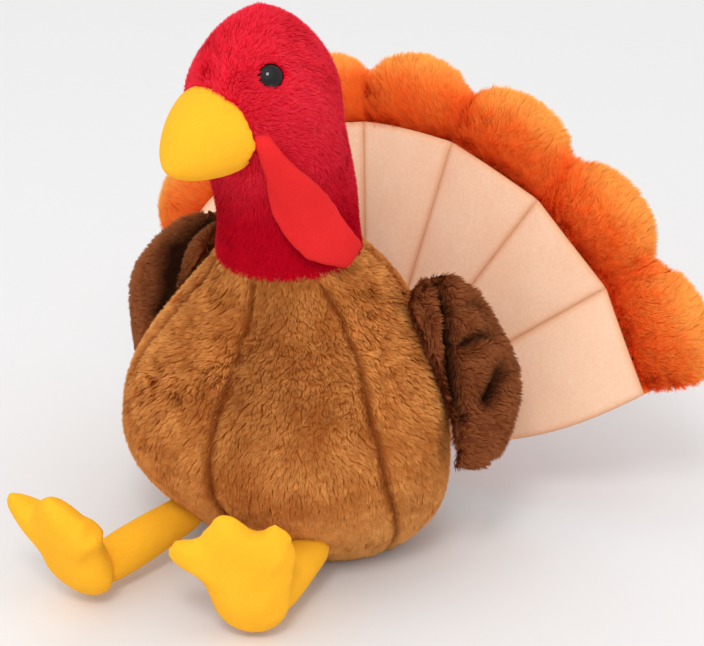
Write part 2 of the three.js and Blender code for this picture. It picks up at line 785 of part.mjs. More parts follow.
function makeLegs() {
  const poses = [
    ['left', 1, leftLegReach, leftLegSpread, leftFootTurn],
    ['right', -1, rightLegReach, rightLegSpread, rightFootTurn],
  ];
  for (const [side, sign, reach, spread, pose] of poses) {
    const hip = hipSpot(sign);
    const ankle = new THREE.Vector3(hip.x + sign * spread, hip.y - reach, ankleHeight);
    const length = hip.distanceTo(ankle);
    const alongLeg = new THREE.Quaternion().setFromUnitVectors(
      new THREE.Vector3(0, 1, 0), ankle.clone().sub(hip).normalize(),
    );
    const place = new THREE.Matrix4().compose(hip, alongLeg, new THREE.Vector3(1, 1, 1));
    const footPlace = footTurn(sign, pose);
    let sweep = null;
    const bends = 4;
    for (let i = 0; i <= bends; i += 1) {
      const bend = new THREE.Quaternion().setFromAxisAngle(
        new THREE.Vector3(1, 0, 0), rad(mix(-footBend.back, footBend.front, i / bends)),
      );
      const turned = new THREE.Matrix4().compose(
        ankle, footPlace.clone().multiply(bend), new THREE.Vector3(1, 1, 1),
      );
      const grown = padFill(footOutline, footThickness, flatMiddle, -2 * seamGap).applyMatrix4(turned);
      sweep = sweep ? sweep.add(toSolid(grown)) : toSolid(grown);
    }
    const inner = legProfile(length, fleeceThickness).reverse();
    const tube = new THREE.LatheGeometry(legProfile(length, 0).concat(inner), legAround).applyMatrix4(place);
    const core = legProfile(length, fleeceThickness + fillGap);
    core.push(new THREE.Vector2(0, length));
    const filling = new THREE.LatheGeometry(core, legAround).applyMatrix4(place);
    add(toy, `${side}_leg`, toGeometry(toSolid(tube).subtract(sweep)), yellowFleece);
    add(toy, `${side}_leg_stuffing`, toGeometry(toSolid(filling).subtract(sweep)), fibreFill);

    const foot = new THREE.Group();
    foot.position.copy(ankle);
    foot.quaternion.copy(footPlace);
    toy.add(foot);
    const sole = padCover(footOutline, footThickness, flatMiddle, fleeceThickness, 1);
    const upper = padCover(footOutline, footThickness, flatMiddle, fleeceThickness, -1);
    add(foot, `${side}_foot_sole`, sole, yellowFleece);
    add(foot, `${side}_foot_upper`, upper, yellowFleece);
    const fill = padFill(footOutline, footThickness, flatMiddle, fleeceThickness + fillGap);
    add(foot, `${side}_foot_stuffing`, fill, fibreFill);
    hinge(`${side}_hip`, hip, ankle.clone().sub(hip).cross(up));
    hinge(`${side}_ankle`, ankle, new THREE.Vector3(1, 0, 0).applyQuaternion(footPlace));
  }
}

makeBodyPanels();
makeBodyInside();
makeHead();
makeSnood();
makeTail();
makeWings();
makeLegs();

export default toy;
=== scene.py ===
import json
import math

import bmesh
import bpy
import numpy as np
from mathutils import Matrix, Vector, kdtree


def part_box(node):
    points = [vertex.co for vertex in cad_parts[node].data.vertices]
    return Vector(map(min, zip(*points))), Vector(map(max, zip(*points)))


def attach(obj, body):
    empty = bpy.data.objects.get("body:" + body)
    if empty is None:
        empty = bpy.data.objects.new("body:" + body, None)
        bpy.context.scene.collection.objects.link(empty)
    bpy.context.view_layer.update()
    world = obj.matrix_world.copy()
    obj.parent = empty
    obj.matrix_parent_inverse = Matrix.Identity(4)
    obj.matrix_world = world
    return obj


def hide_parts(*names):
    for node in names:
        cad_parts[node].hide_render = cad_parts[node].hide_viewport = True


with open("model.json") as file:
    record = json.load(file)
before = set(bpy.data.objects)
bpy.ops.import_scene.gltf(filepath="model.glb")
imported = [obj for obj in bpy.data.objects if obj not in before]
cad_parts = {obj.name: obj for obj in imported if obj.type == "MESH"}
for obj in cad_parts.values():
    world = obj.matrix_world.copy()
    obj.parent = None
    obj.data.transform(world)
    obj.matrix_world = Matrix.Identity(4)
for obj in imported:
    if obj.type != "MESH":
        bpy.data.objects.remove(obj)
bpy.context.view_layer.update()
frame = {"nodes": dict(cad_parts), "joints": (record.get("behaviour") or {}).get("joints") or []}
nodes = frame["nodes"]
joints = {j["name"]: j for j in frame["joints"]}
scene = bpy.context.scene
mm = 0.001
weld = 1e-6
floorGap = 0.3 * mm
print("frame loaded:", len(nodes), "nodes")


# meshes and modifiers

def paint(red, green, blue):
    def linear(value):
        value /= 255
        return value / 12.92 if value <= 0.04045 else ((value + 0.055) / 1.055) ** 2.4
    return (linear(red), linear(green), linear(blue), 1.0)


def newPiece(name, mesh):
    piece = bpy.data.objects.new(name, mesh)
    scene.collection.objects.link(piece)
    return piece


def fromBmesh(name, bm):
    mesh = bpy.data.meshes.new(name)
    bm.to_mesh(mesh)
    bm.free()
    return newPiece(name, mesh)


def settle(piece):  # turns live modifiers into plain mesh
    graph = bpy.context.evaluated_depsgraph_get()
    made = bpy.data.meshes.new_from_object(
        piece.evaluated_get(graph), preserve_all_data_layers=True, depsgraph=graph)
    old = piece.data
    piece.modifiers.clear()
    piece.data = made
    made.name = piece.name
    bpy.data.meshes.remove(old)
    return piece


def swell(piece, distance):  # moves the skin along its normals
    push = piece.modifiers.new("swell", "DISPLACE")
    push.mid_level = 0
    push.strength = distance
    return settle(piece)


def soften(piece, factor, turns):
    ease = piece.modifiers.new("soften", "SMOOTH")
    ease.factor = factor
    ease.iterations = turns
    return settle(piece)


def refine(piece, levels):
    finer = piece.modifiers.new("refine", "SUBSURF")
    finer.levels = levels
    finer.render_levels = levels
    finer.boundary_smooth = "PRESERVE_CORNERS"
    return settle(piece)


def wall(piece, thickness):  # gives a sheet its cloth thickness, inwards
    thick = piece.modifiers.new("wall", "SOLIDIFY")
    thick.thickness = thickness
    thick.offset = -1
    return settle(piece)


def shade(piece):
    piece.data.polygons.foreach_set("use_smooth", [True] * len(piece.data.polygons))
    return piece


def formFrom(name, nodeNames, voxel, turns):  # one closed soft form over several solids
    bm = bmesh.new()
    for nodeName in nodeNames:
        bm.from_mesh(nodes[nodeName].data)
    bmesh.ops.remove_doubles(bm, verts=bm.verts, dist=weld)
    piece = fromBmesh(name, bm)
    remesh = piece.modifiers.new("remesh", "REMESH")
    remesh.mode = "VOXEL"
    remesh.voxel_size = voxel
    settle(piece)
    return soften(piece, 0.5, turns)


def sheetFrom(name, nodeName, outward, levels):  # the outer face of one cover, as a fine sheet
    bm = bmesh.new()
    bm.from_mesh(nodes[nodeName].data)
    bmesh.ops.remove_doubles(bm, verts=bm.verts, dist=weld)
    bm.normal_update()
    inner = [f for f in bm.faces if f.normal.dot(outward(f.calc_center_median())) < 0.5]
    bmesh.ops.delete(bm, geom=inner, context="FACES")
    bmesh.ops.join_triangles(bm, faces=bm.faces, angle_face_threshold=1.0, angle_shape_threshold=1.5)
    return refine(fromBmesh(name, bm), levels)


def points(piece):
    flat = np.empty(len(piece.data.vertices) * 3)
    piece.data.vertices.foreach_get("co", flat)
    return flat.reshape(-1, 3)


def normals(piece):
    flat = np.empty(len(piece.data.vertices) * 3)
    piece.data.vertices.foreach_get("normal", flat)
    return flat.reshape(-1, 3)


def setPoints(piece, places):
    piece.data.vertices.foreach_set("co", np.ascontiguousarray(places, float).ravel())
    piece.data.update()


def setValue(piece, name, values):
    layer = piece.data.attributes.get(name) or piece.data.attributes.new(name, "FLOAT", "POINT")
    layer.data.foreach_set("value", np.ascontiguousarray(values, np.float32))


def setVector(piece, name, vectors):
    layer = piece.data.attributes.get(name) or piece.data.attributes.new(name, "FLOAT_VECTOR", "POINT")
    layer.data.foreach_set("vector", np.ascontiguousarray(vectors, np.float32).ravel())


def sewnEdge(piece, width):  # 1 on the sheet's sewn edge, 0 a few widths in
    bm = bmesh.new()
    bm.from_mesh(piece.data)
    rim = [v.co.copy() for v in bm.verts if v.is_boundary]
    bm.free()
    tree = kdtree.KDTree(len(rim))
    for i, place in enumerate(rim):
        tree.insert(place, i)
    tree.balance()
    away = np.array([tree.find(v.co)[2] for v in piece.data.vertices])
    return np.exp(-(away / width) ** 2)


def drawTogether(piece, distance):  # the sewn edges meet their neighbours, so no light shows through
    bm = bmesh.new()
    bm.from_mesh(piece.data)
    push = {}
    for rim in bm.edges:
        if rim.is_boundary:
            face = rim.link_faces[0]
            out = (rim.verts[1].co - rim.verts[0].co).cross(face.normal).normalized()
            if out.dot(rim.verts[0].co - face.calc_center_median()) < 0:
                out.negate()
            for vert in rim.verts:
                push[vert] = push.get(vert, Vector()) + out
    for vert, out in push.items():
        vert.co += out.normalized() * distance
    bm.to_mesh(piece.data)
    bm.free()


# stuffing: cloth blown up from inside, all pieces in one run

toStuff = []
clothLook = {"quality": 5, "mass": 0.001, "frames": 20, "leastPin": 0.02}


def stuffed(piece, pressure, cap, pinned=None):
    toStuff.append((piece, points(piece), cap))
    cloth = piece.modifiers.new("stuffing", "CLOTH")
    settings = cloth.settings
    settings.quality = clothLook["quality"]
    settings.mass = clothLook["mass"]
    settings.use_pressure = True
    settings.uniform_pressure_force = pressure
    settings.effector_weights.gravity = 0
    if pinned is not None:
        group = piece.vertex_groups.new(name="sewn")
        for i in np.nonzero(pinned > clothLook["leastPin"])[0]:
            group.add([int(i)], float(min(pinned[i], 1)), "REPLACE")
        settings.vertex_group_mass = "sewn"
    return piece


def runStuffing(frames):
    for step in range(1, frames + 1):
        scene.frame_set(step)
    for piece, rest, cap in toStuff:
        settle(piece)
        move = points(piece) - rest
        size = np.linalg.norm(move, axis=1, keepdims=True)
        setPoints(piece, rest + move * np.minimum(1, cap / np.maximum(size, 1e-9)))
        piece.vertex_groups.clear()
        print("stuffed", piece.name, "moved", round(float(size.max()) / mm, 1), "mm")
    toStuff.clear()


# pile: leaning blades scattered over a skin by geometry nodes

bladeLook = {"spin": 0.6, "shortest": 0.7, "longest": 1.1, "tuftTone": 0.5}


def makeBlade(name, width):
    bm = bmesh.new()
    bmesh.ops.create_circle(bm, cap_ends=True, segments=3, radius=1)
    root = sorted(bm.verts, key=lambda v: v.co.y)
    for vert, place in zip(root, ((-width / 2, 0, 0), (width / 2, 0, 0), (0, 0, 1))):
        vert.co = place
    bm.normal_update()
    bmesh.ops.reverse_faces(bm, faces=[f for f in bm.faces if f.normal.y < 0])  # outer side is +y
    blade = fromBmesh(name, bm)
    setValue(blade, "pileHeight", [v.co.z for v in blade.data.vertices])
    blade.hide_render = True
    return blade


def makePileTree():
    tree = bpy.data.node_groups.new("pileScatter", "GeometryNodeTree")
    sockets = {}
    for name, kind in (("Skin", "Geometry"), ("Blade", "Object"), ("Density", "Float"), ("Length", "Float"),
                       ("Lean", "Float"), ("Slant", "Float"), ("Gather", "Float"), ("Tuft", "Float"),
                       ("Clump", "Float"), ("Drift", "Float"), ("Seed", "Int")):
        sockets[name] = tree.interface.new_socket(name, in_out="INPUT", socket_type="NodeSocket" + kind)
    tree.interface.new_socket("Pile", in_out="OUTPUT", socket_type="NodeSocketGeometry")

    def add(kind, **settings):
        node = tree.nodes.new(kind)
        for key, value in settings.items():
            setattr(node, key, value)
        return node

    def join(output, socket):
        tree.links.new(output, socket)

    def vectorMath(operation, first, second):
        node = add("ShaderNodeVectorMath", operation=operation)
        join(first, node.inputs[0])
        if second is not None:
            target = node.inputs["Scale"] if operation == "SCALE" else node.inputs[1]
            if isinstance(second, (tuple, float)):
                target.default_value = second
            else:
                join(second, target)
        return node.outputs[0]

    given = add("NodeGroupInput").outputs
    share = add("GeometryNodeInputNamedAttribute", data_type="FLOAT")
    share.inputs["Name"].default_value = "pileShare"
    reach = add("GeometryNodeInputNamedAttribute", data_type="FLOAT")
    reach.inputs["Name"].default_value = "pileLength"
    flow = add("GeometryNodeInputNamedAttribute", data_type="FLOAT_VECTOR")
    flow.inputs["Name"].default_value = "pileFlow"
    density = add("ShaderNodeMath", operation="MULTIPLY")
    join(given["Density"], density.inputs[0])
    join(share.outputs["Attribute"], density.inputs[1])
    scatter = add("GeometryNodeDistributePointsOnFaces", distribute_method="RANDOM")
    join(given["Skin"], scatter.inputs["Mesh"])
    join(density.outputs[0], scatter.inputs["Density"])
    join(given["Seed"], scatter.inputs["Seed"])

    place = add("GeometryNodeInputPosition").outputs[0]
    lean = None
    for scale in ("Clump", "Drift"):  # fine tufts, then broad strokes of the hand
        cloud = add("ShaderNodeTexNoise", noise_dimensions="3D")
        cloud.inputs["Detail"].default_value = 1.0
        join(place, cloud.inputs["Vector"])
        join(given[scale], cloud.inputs["Scale"])
        centred = vectorMath("SUBTRACT", cloud.outputs["Color"], (0.5, 0.5, 0.5))
        lean = centred if lean is None else vectorMath("ADD", lean, centred)
    tilt = vectorMath("SCALE", lean, None)
    join(given["Lean"], tilt.node.inputs["Scale"])
    cells = add("ShaderNodeTexVoronoi", voronoi_dimensions="3D", feature="F1")
    join(place, cells.inputs["Vector"])
    join(given["Tuft"], cells.inputs["Scale"])
    gather = vectorMath("SCALE", vectorMath("SUBTRACT", cells.outputs["Position"], place), None)
    join(given["Gather"], gather.node.inputs["Scale"])
    normal = scatter.outputs["Normal"]
    lay = vectorMath("ADD", tilt, flow.outputs["Attribute"])
    lay = vectorMath("NORMALIZE", vectorMath("SUBTRACT", lay, vectorMath("PROJECT", lay, normal)), None)
    lay = vectorMath("SCALE", lay, given["Slant"])
    way = vectorMath("NORMALIZE", vectorMath("ADD", vectorMath("ADD", normal, lay), gather), None)

    keepNormal = add("GeometryNodeStoreNamedAttribute", data_type="FLOAT_VECTOR", domain="POINT")
    keepNormal.inputs["Name"].default_value = "skinNormal"
    join(scatter.outputs["Points"], keepNormal.inputs["Geometry"])
    join(normal, keepNormal.inputs["Value"])
    tone = add("FunctionNodeRandomValue", data_type="FLOAT")
    join(given["Seed"], tone.inputs["Seed"])
    keepTone = add("GeometryNodeStoreNamedAttribute", data_type="FLOAT", domain="POINT")
    keepTone.inputs["Name"].default_value = "tone"
    join(keepNormal.outputs[0], keepTone.inputs["Geometry"])
    blendTone = add("ShaderNodeMix", data_type="FLOAT")
    blendTone.inputs[0].default_value = bladeLook["tuftTone"]
    join(tone.outputs[1], blendTone.inputs[2])
    join(cells.outputs["Color"], blendTone.inputs[3])
    join(blendTone.outputs[0], keepTone.inputs["Value"])

    aim = add("FunctionNodeAlignRotationToVector", axis="Z")
    join(way, aim.inputs["Vector"])
    face = add("FunctionNodeAlignRotationToVector", axis="Y", pivot_axis="Z")  # flat side out
    join(aim.outputs[0], face.inputs["Rotation"])
    join(normal, face.inputs["Vector"])
    spin = add("FunctionNodeRandomValue", data_type="FLOAT")
    spin.inputs[2].default_value = -bladeLook["spin"]
    spin.inputs[3].default_value = bladeLook["spin"]
    join(given["Seed"], spin.inputs["Seed"])
    twist = add("FunctionNodeAxisAngleToRotation")
    twist.inputs["Axis"].default_value = (0, 0, 1)
    join(spin.outputs[1], twist.inputs["Angle"])
    turned = add("FunctionNodeRotateRotation", rotation_space="LOCAL")
    join(face.outputs[0], turned.inputs[0])
    join(twist.outputs[0], turned.inputs[1])
    vary = add("FunctionNodeRandomValue", data_type="FLOAT")
    vary.inputs[2].default_value = bladeLook["shortest"]
    vary.inputs[3].default_value = bladeLook["longest"]
    length = add("ShaderNodeMath", operation="MULTIPLY")
    join(vary.outputs[1], length.inputs[0])
    join(given["Length"], length.inputs[1])
    shorter = add("ShaderNodeMath", operation="MULTIPLY")
    join(length.outputs[0], shorter.inputs[0])
    join(reach.outputs["Attribute"], shorter.inputs[1])

    blade = add("GeometryNodeObjectInfo")
    join(given["Blade"], blade.inputs["Object"])
    plant = add("GeometryNodeInstanceOnPoints")
    join(keepTone.outputs[0], plant.inputs["Points"])
    join(blade.outputs["Geometry"], plant.inputs["Instance"])
    join(turned.outputs[0], plant.inputs["Rotation"])
    join(shorter.outputs[0], plant.inputs["Scale"])
    real = add("GeometryNodeRealizeInstances")
    join(plant.outputs[0], real.inputs[0])
    join(real.outputs[0], add("NodeGroupOutput").inputs[0])
    return tree, {name: socket.identifier for name, socket in sockets.items()}


pileTree, pileSockets = makePileTree()


def bakeMap(piece):  # every face gets a cell of its own in the map
    mesh = piece.data
    count = len(mesh.polygons)
    start = np.empty(count, int)
    total = np.empty(count, int)
    mesh.polygons.foreach_get("loop_start", start)
    mesh.polygons.foreach_get("loop_total", total)
    across = math.ceil(math.sqrt(count))
    owner = np.repeat(np.arange(count), total)
    step = np.arange(len(mesh.loops)) - np.repeat(start, total)
    near, far = 0.12, 0.88  # a margin keeps the cells apart
    corner = np.array([(near, near), (far, near), (far, far), (near, far)])[step % 4]
    cell = np.stack([owner % across, owner // across], 1)
    layer = mesh.uv_layers.new(name="OFBake")
    layer.data.foreach_set("uv", ((cell + corner) / across).ravel())


def growPile(skin, blade, look, seed, share=None, reach=None, flow=None):
    count = len(skin.data.vertices)
    setVector(skin, "pileFlow", np.tile(look["flow"], (count, 1)) if flow is None else flow)
    setValue(skin, "pileShare", np.ones(count) if share is None else share)
    setValue(skin, "pileLength", np.ones(count) if reach is None else reach)
    pile = newPiece(skin.name + "Pile", skin.data.copy())
    nodesMod = pile.modifiers.new("pile", "NODES")
    nodesMod.node_group = pileTree
    given = {"Blade": blade, "Density": look["perSquareMm"] / mm ** 2, "Length": look["length"],
             "Lean": look["lean"], "Slant": look["slant"], "Gather": look["gather"] / look["length"],
             "Tuft": 1 / look["tuft"], "Clump": look["clump"], "Drift": look["drift"], "Seed": seed}
    for name, value in given.items():
        nodesMod[pileSockets[name]] = value
    settle(pile)
    return pile


def dress(skin, pile, cloth=None):  # skin and pile become one piece, clear of the floor
    if cloth is not None:
        wall(skin, cloth)
    count = len(skin.data.vertices)
    setValue(skin, "pileHeight", np.zeros(count))
    setValue(skin, "tone", np.full(count, 0.5))
    setVector(skin, "skinNormal", normals(skin))
    if pile is not None:
        with bpy.context.temp_override(active_object=skin, object=skin, selected_editable_objects=[skin, pile]):
            bpy.ops.object.join()
    places = points(skin)
    places[:, 2] = np.maximum(places[:, 2], floorGap)
    setPoints(skin, places)
    bakeMap(skin)
    return shade(skin)


# shader groups

def newGroup(name, inputs, outputs):
    tree = bpy.data.node_groups.new(name, "ShaderNodeTree")
    for label, kind, value in inputs:
        socket = tree.interface.new_socket(label, in_out="INPUT", socket_type="NodeSocket" + kind)
        socket.default_value = value
    for label, kind in outputs:
        tree.interface.new_socket(label, in_out="OUTPUT", socket_type="NodeSocket" + kind)
    return tree, tree.nodes.new("NodeGroupInput").outputs, tree.nodes.new("NodeGroupOutput").inputs


def shaderNode(tree, kind, links=None, **settings):
    node = tree.nodes.new(kind)
    for key, value in settings.items():
        setattr(node, key, value)
    for key, value in (links or {}).items():
        if isinstance(value, bpy.types.NodeSocket):
            tree.links.new(value, node.inputs[key])
        else:
            node.inputs[key].default_value = value
    return node


def mixColour(tree, blend, factor, first, second):
    node = tree.nodes.new("ShaderNodeMix")
    node.data_type = "RGBA"
    node.blend_type = blend
    for key, value in ((0, factor), (6, first), (7, second)):
        if isinstance(value, bpy.types.NodeSocket):
            tree.links.new(value, node.inputs[key])
        else:
            node.inputs[key].default_value = value
    return node.outputs[2]


def makePileTones():
    tree, given, out = newGroup(
        "pileTones",
        [("Root", "Color", (0, 0, 0, 1)), ("Middle", "Color", (0.5, 0.5, 0.5, 1)), ("Tip", "Color", (1, 1, 1, 1)),
         ("Deep", "Color", (0, 0, 0, 1)), ("Spread", "Float", 0.3), ("Patch Scale", "Float", 40.0),
         ("Patch Depth", "Float", 0.4)],
        [("Color", "Color")])
    height = shaderNode(tree, "ShaderNodeAttribute", attribute_name="pileHeight").outputs["Fac"]
    tone = shaderNode(tree, "ShaderNodeAttribute", attribute_name="tone").outputs["Fac"]
    place = tree.nodes.new("ShaderNodeTexCoord").outputs["Object"]
    deep = shaderNode(tree, "ShaderNodeAttribute", attribute_name="deep").outputs["Fac"]
    pale = shaderNode(tree, "ShaderNodeAttribute", attribute_name="pale").outputs["Fac"]
    low = shaderNode(tree, "ShaderNodeMapRange", {0: height, 1: 0.0, 2: 0.55, 3: 0.0, 4: 1.0}).outputs[0]
    high = shaderNode(tree, "ShaderNodeMapRange", {0: height, 1: 0.45, 2: 1.0, 3: 0.0, 4: 1.0}).outputs[0]
    colour = mixColour(tree, "MIX", low, given["Root"], given["Middle"])
    colour = mixColour(tree, "MIX", high, colour, given["Tip"])
    cloud = shaderNode(tree, "ShaderNodeTexNoise", {"Vector": place, "Scale": given["Patch Scale"], "Detail": 3.0})
    fine = shaderNode(tree, "ShaderNodeMath", {0: given["Patch Scale"], 1: 4.5}, operation="MULTIPLY").outputs[0]
    speck = shaderNode(tree, "ShaderNodeTexNoise", {"Vector": place, "Scale": fine, "Detail": 2.0})
    both = shaderNode(tree, "ShaderNodeMix", {0: 0.4, 2: cloud.outputs["Fac"], 3: speck.outputs["Fac"]},
                      data_type="FLOAT")
    patch = shaderNode(tree, "ShaderNodeMapRange", {0: both.outputs[0], 1: 0.4, 2: 0.6, 3: 0.0, 4: 1.0})
    depth = shaderNode(tree, "ShaderNodeMath", {0: patch.outputs[0], 1: given["Patch Depth"]}, operation="MULTIPLY")
    colour = mixColour(tree, "MIX", depth.outputs[0], colour, given["Root"])
    # deep and pale mix in the Deep and Tip colours: seams and tones, and also painted shade and painted light
    colour = mixColour(tree, "MIX", deep, colour, given["Deep"])
    colour = mixColour(tree, "MIX", pale, colour, given["Tip"])
    centred = shaderNode(tree, "ShaderNodeMath", {0: tone, 1: 0.5}, operation="SUBTRACT").outputs[0]
    scaled = shaderNode(tree, "ShaderNodeMath", {0: centred, 1: given["Spread"]}, operation="MULTIPLY").outputs[0]
    lighter = shaderNode(tree, "ShaderNodeMath", {0: scaled, 1: 1.0}, operation="ADD").outputs[0]
    shift = shaderNode(tree, "ShaderNodeHueSaturation", {"Value": lighter, "Color": colour})
    tree.links.new(shift.outputs[0], out["Color"])
    return tree


def makeNap():
    tree, given, out = newGroup(
        "clothNap", [("Color", "Color", (1, 1, 1, 1)), ("Shade", "Color", (0.5, 0.5, 0.5, 1)),
                     ("Scale", "Float", 900.0), ("Depth", "Float", 0.3)],
        [("Color", "Color"), ("Height", "Float")])
    place = tree.nodes.new("ShaderNodeTexCoord").outputs["Object"]
    edge = shaderNode(tree, "ShaderNodeAttribute", attribute_name="seam").outputs["Fac"]
    fine = shaderNode(tree, "ShaderNodeTexNoise", {"Vector": place, "Scale": given["Scale"], "Detail": 4.0})
    broad = shaderNode(tree, "ShaderNodeTexNoise", {"Vector": place, "Scale": 45.0, "Detail": 3.0})
    blotch = shaderNode(tree, "ShaderNodeMapRange", {0: broad.outputs["Fac"], 1: 0.35, 2: 0.7, 3: 0.0, 4: 1.0})
    depth = shaderNode(tree, "ShaderNodeMath", {0: blotch.outputs[0], 1: given["Depth"]}, operation="MULTIPLY")
    colour = mixColour(tree, "MIX", depth.outputs[0], given["Color"], given["Shade"])
    speck = shaderNode(tree, "ShaderNodeMapRange", {0: fine.outputs["Fac"], 1: 0.3, 2: 0.7, 3: 0.0, 4: 0.22})
    colour = mixColour(tree, "MIX", speck.outputs[0], colour, given["Shade"])
    colour = mixColour(tree, "MIX", edge, colour, given["Shade"])
    tree.links.new(colour, out["Color"])
    tree.links.new(fine.outputs["Fac"], out["Height"])
    return tree


pileTones = makePileTones()
clothNap = makeNap()


def newMaterial(name):
    material = bpy.data.materials.new(name)
    material.use_nodes = True
    tree = material.node_tree
    shader = next(n for n in tree.nodes if n.type == "BSDF_PRINCIPLED")
    return material, tree, shader


def useGroup(tree, group, values):
    node = tree.nodes.new("ShaderNodeGroup")
    node.node_tree = group
    for key, value in values.items():
        node.inputs[key].default_value = value
    return node.outputs


def plushMaterial(name, look):
    material, tree, shader = newMaterial(name)
    material.cycles.use_bump_map_correction = False  # light reaches fibres from both sides
    tones = useGroup(tree, pileTones, {
        "Root": look["root"], "Middle": look["middle"], "Tip": look["tip"], "Deep": look["deep"],
        "Spread": look["spread"], "Patch Scale": look["patchScale"], "Patch Depth": look["patchDepth"]})
    tree.links.new(tones["Color"], shader.inputs["Base Color"])
    lie = shaderNode(tree, "ShaderNodeAttribute", attribute_name="skinNormal").outputs["Vector"]
    world = shaderNode(tree, "ShaderNodeVectorTransform", {0: lie}, vector_type="NORMAL", convert_from="OBJECT",
                       convert_to="WORLD").outputs[0]
    surface = tree.nodes.new("ShaderNodeNewGeometry").outputs
    own = surface["Normal"]
    turnOver = shaderNode(tree, "ShaderNodeMapRange",
                          {0: surface["Backfacing"], 1: 0.0, 2: 1.0, 3: 0.2, 4: 1.0}).outputs[0]
    part = shaderNode(tree, "ShaderNodeMix", {0: turnOver, 4: world, 5: own}, data_type="VECTOR").outputs[1]
    unit = shaderNode(tree, "ShaderNodeVectorMath", {0: part}, operation="NORMALIZE").outputs[0]
    tree.links.new(unit, shader.inputs["Normal"])
    shader.inputs["Roughness"].default_value = 0.9
    shader.inputs["Specular IOR Level"].default_value = 0.05
    shader.inputs["Sheen Weight"].default_value = look["sheen"]
    shader.inputs["Sheen Roughness"].default_value = 0.45
    shader.inputs["Sheen Tint"].default_value = look["tip"]
    return material


def fleeceMaterial(name, look):
    material, tree, shader = newMaterial(name)
    nap = useGroup(tree, clothNap, {"Color": look["colour"], "Shade": look["shade"], "Scale": look["scale"],
                                    "Depth": look["depth"]})
    tree.links.new(nap["Color"], shader.inputs["Base Color"])
    bump = shaderNode(tree, "ShaderNodeBump", {"Strength": look["bump"], "Distance": 0.6 * mm, "Height": nap["Height"]})
    tree.links.new(bump.outputs[0], shader.inputs["Normal"])
    shader.inputs["Roughness"].default_value = 0.92
    shader.inputs["Specular IOR Level"].default_value = 0.15
    shader.inputs["Sheen Weight"].default_value = look["sheen"]
    shader.inputs["Sheen Roughness"].default_value = 0.5
    shader.inputs["Sheen Tint"].default_value = look["colour"]
    return material


def finishPiece(piece, material, body, replaced):
    piece.data.materials.clear()
    piece.data.materials.append(material)
    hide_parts(*replaced)
    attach(piece, body)


# deep: caramel darkens the seams and is the painted shade on the chest, crimson is the painted shade on the throat,
# chestnut is the painted shade in the wing creases, amber is the lobes' inner tone
# the pale attribute mixes in the tip colour: painted light on the lower body, the wing rims and the lobe rims, and a
# lighter trim on the tail back
caramel = {"root": paint(178, 90, 30), "middle": paint(220, 134, 60), "tip": paint(246, 178, 102),
           "deep": paint(120, 48, 12), "spread": 0.35, "patchScale": 52.0, "patchDepth": 0.6, "sheen": 0.05}
crimson = {"root": paint(214, 4, 34), "middle": paint(238, 24, 48), "tip": paint(248, 70, 88),
           "deep": paint(198, 0, 30), "spread": 0.22, "patchScale": 60.0, "patchDepth": 0.3, "sheen": 0.05}
chestnut = {"root": paint(86, 34, 12), "middle": paint(132, 63, 31), "tip": paint(170, 104, 62),
            "deep": paint(26, 9, 3), "spread": 0.3, "patchScale": 110.0, "patchDepth": 0.4, "sheen": 0.05}
amber = {"root": paint(255, 100, 28), "middle": paint(255, 142, 50), "tip": paint(255, 188, 92),
         "deep": paint(250, 94, 34), "spread": 0.22, "patchScale": 70.0, "patchDepth": 0.5, "sheen": 0.05}
caramelPlush = plushMaterial("caramelPlush", caramel)
crimsonPlush = plushMaterial("crimsonPlush", crimson)
chestnutPlush = plushMaterial("chestnutPlush", chestnut)
amberPlush = plushMaterial("amberPlush", amber)
peachVelour = fleeceMaterial("peachVelour", {"colour": paint(250, 210, 180), "shade": paint(226, 158, 112),
                                             "scale": 700.0, "depth": 0.18, "bump": 0.15, "sheen": 0.2})
yellowFleece = fleeceMaterial("yellowFleece", {"colour": paint(252, 186, 42), "shade": paint(238, 150, 28),
                                               "scale": 1100.0, "depth": 0.3, "bump": 0.2, "sheen": 0.25})
scarletFleece = fleeceMaterial("scarletFleece", {"colour": paint(226, 42, 42), "shade": paint(190, 16, 26),
                                                 "scale": 1100.0, "depth": 0.3, "bump": 0.2, "sheen": 0.25})
print("materials made")


# places read from the frame

def middleOf(nodeName):
    low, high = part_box(nodeName)
    return (low + high) / 2


def jointPlace(name):
    return Vector(joints[name]["pos_m"]), Vector(joints[name]["axis"]).normalized()


# body: six gores and a seat

bodyLook = {"inset": 1.4 * mm, "neckInset": 0.6 * mm, "neckReach": 12 * mm, "levels": 2, "upright": 0.3,
            "pressure": 6.0, "cap": 4 * mm, "cloth": 1.4 * mm, "pinWidth": 1.0 * mm, "close": 0.45 * mm,
            "seamWidth": 1.6 * mm, "seamTone": 0.8, "seamTop": 6 * mm, "seamThin": 0.5, "seamShort": 0.45,
            "perSquareMm": 11.0, "length": 3.6 * mm, "lean": 1.25, "slant": 0.95, "gather": 0.55,
            "tuft": 2.4 * mm, "clump": 260.0, "drift": 45.0, "flow": (0, 0, -0.6),
            "chestShade": 0.6, "flankShade": 0.08, "chestLow": 50 * mm, "chestRise": 70 * mm, "chestDepth": 50 * mm,
            "pale": 0.8, "paleTop": 50 * mm}
bodyHeart = Vector((0, 0, 60 * mm))
neckPlace = jointPlace("neck_turn")[0]
goreNames = [f"body_{where}_{side}_panel" for where in ("front", "side", "back") for side in ("left", "right")]
goreSheets = []


def goreOut(place):  # away from the body's upright axis, tipped a little by height
    return Vector((place.x, place.y, (place.z - bodyHeart.z) * bodyLook["upright"])).normalized()


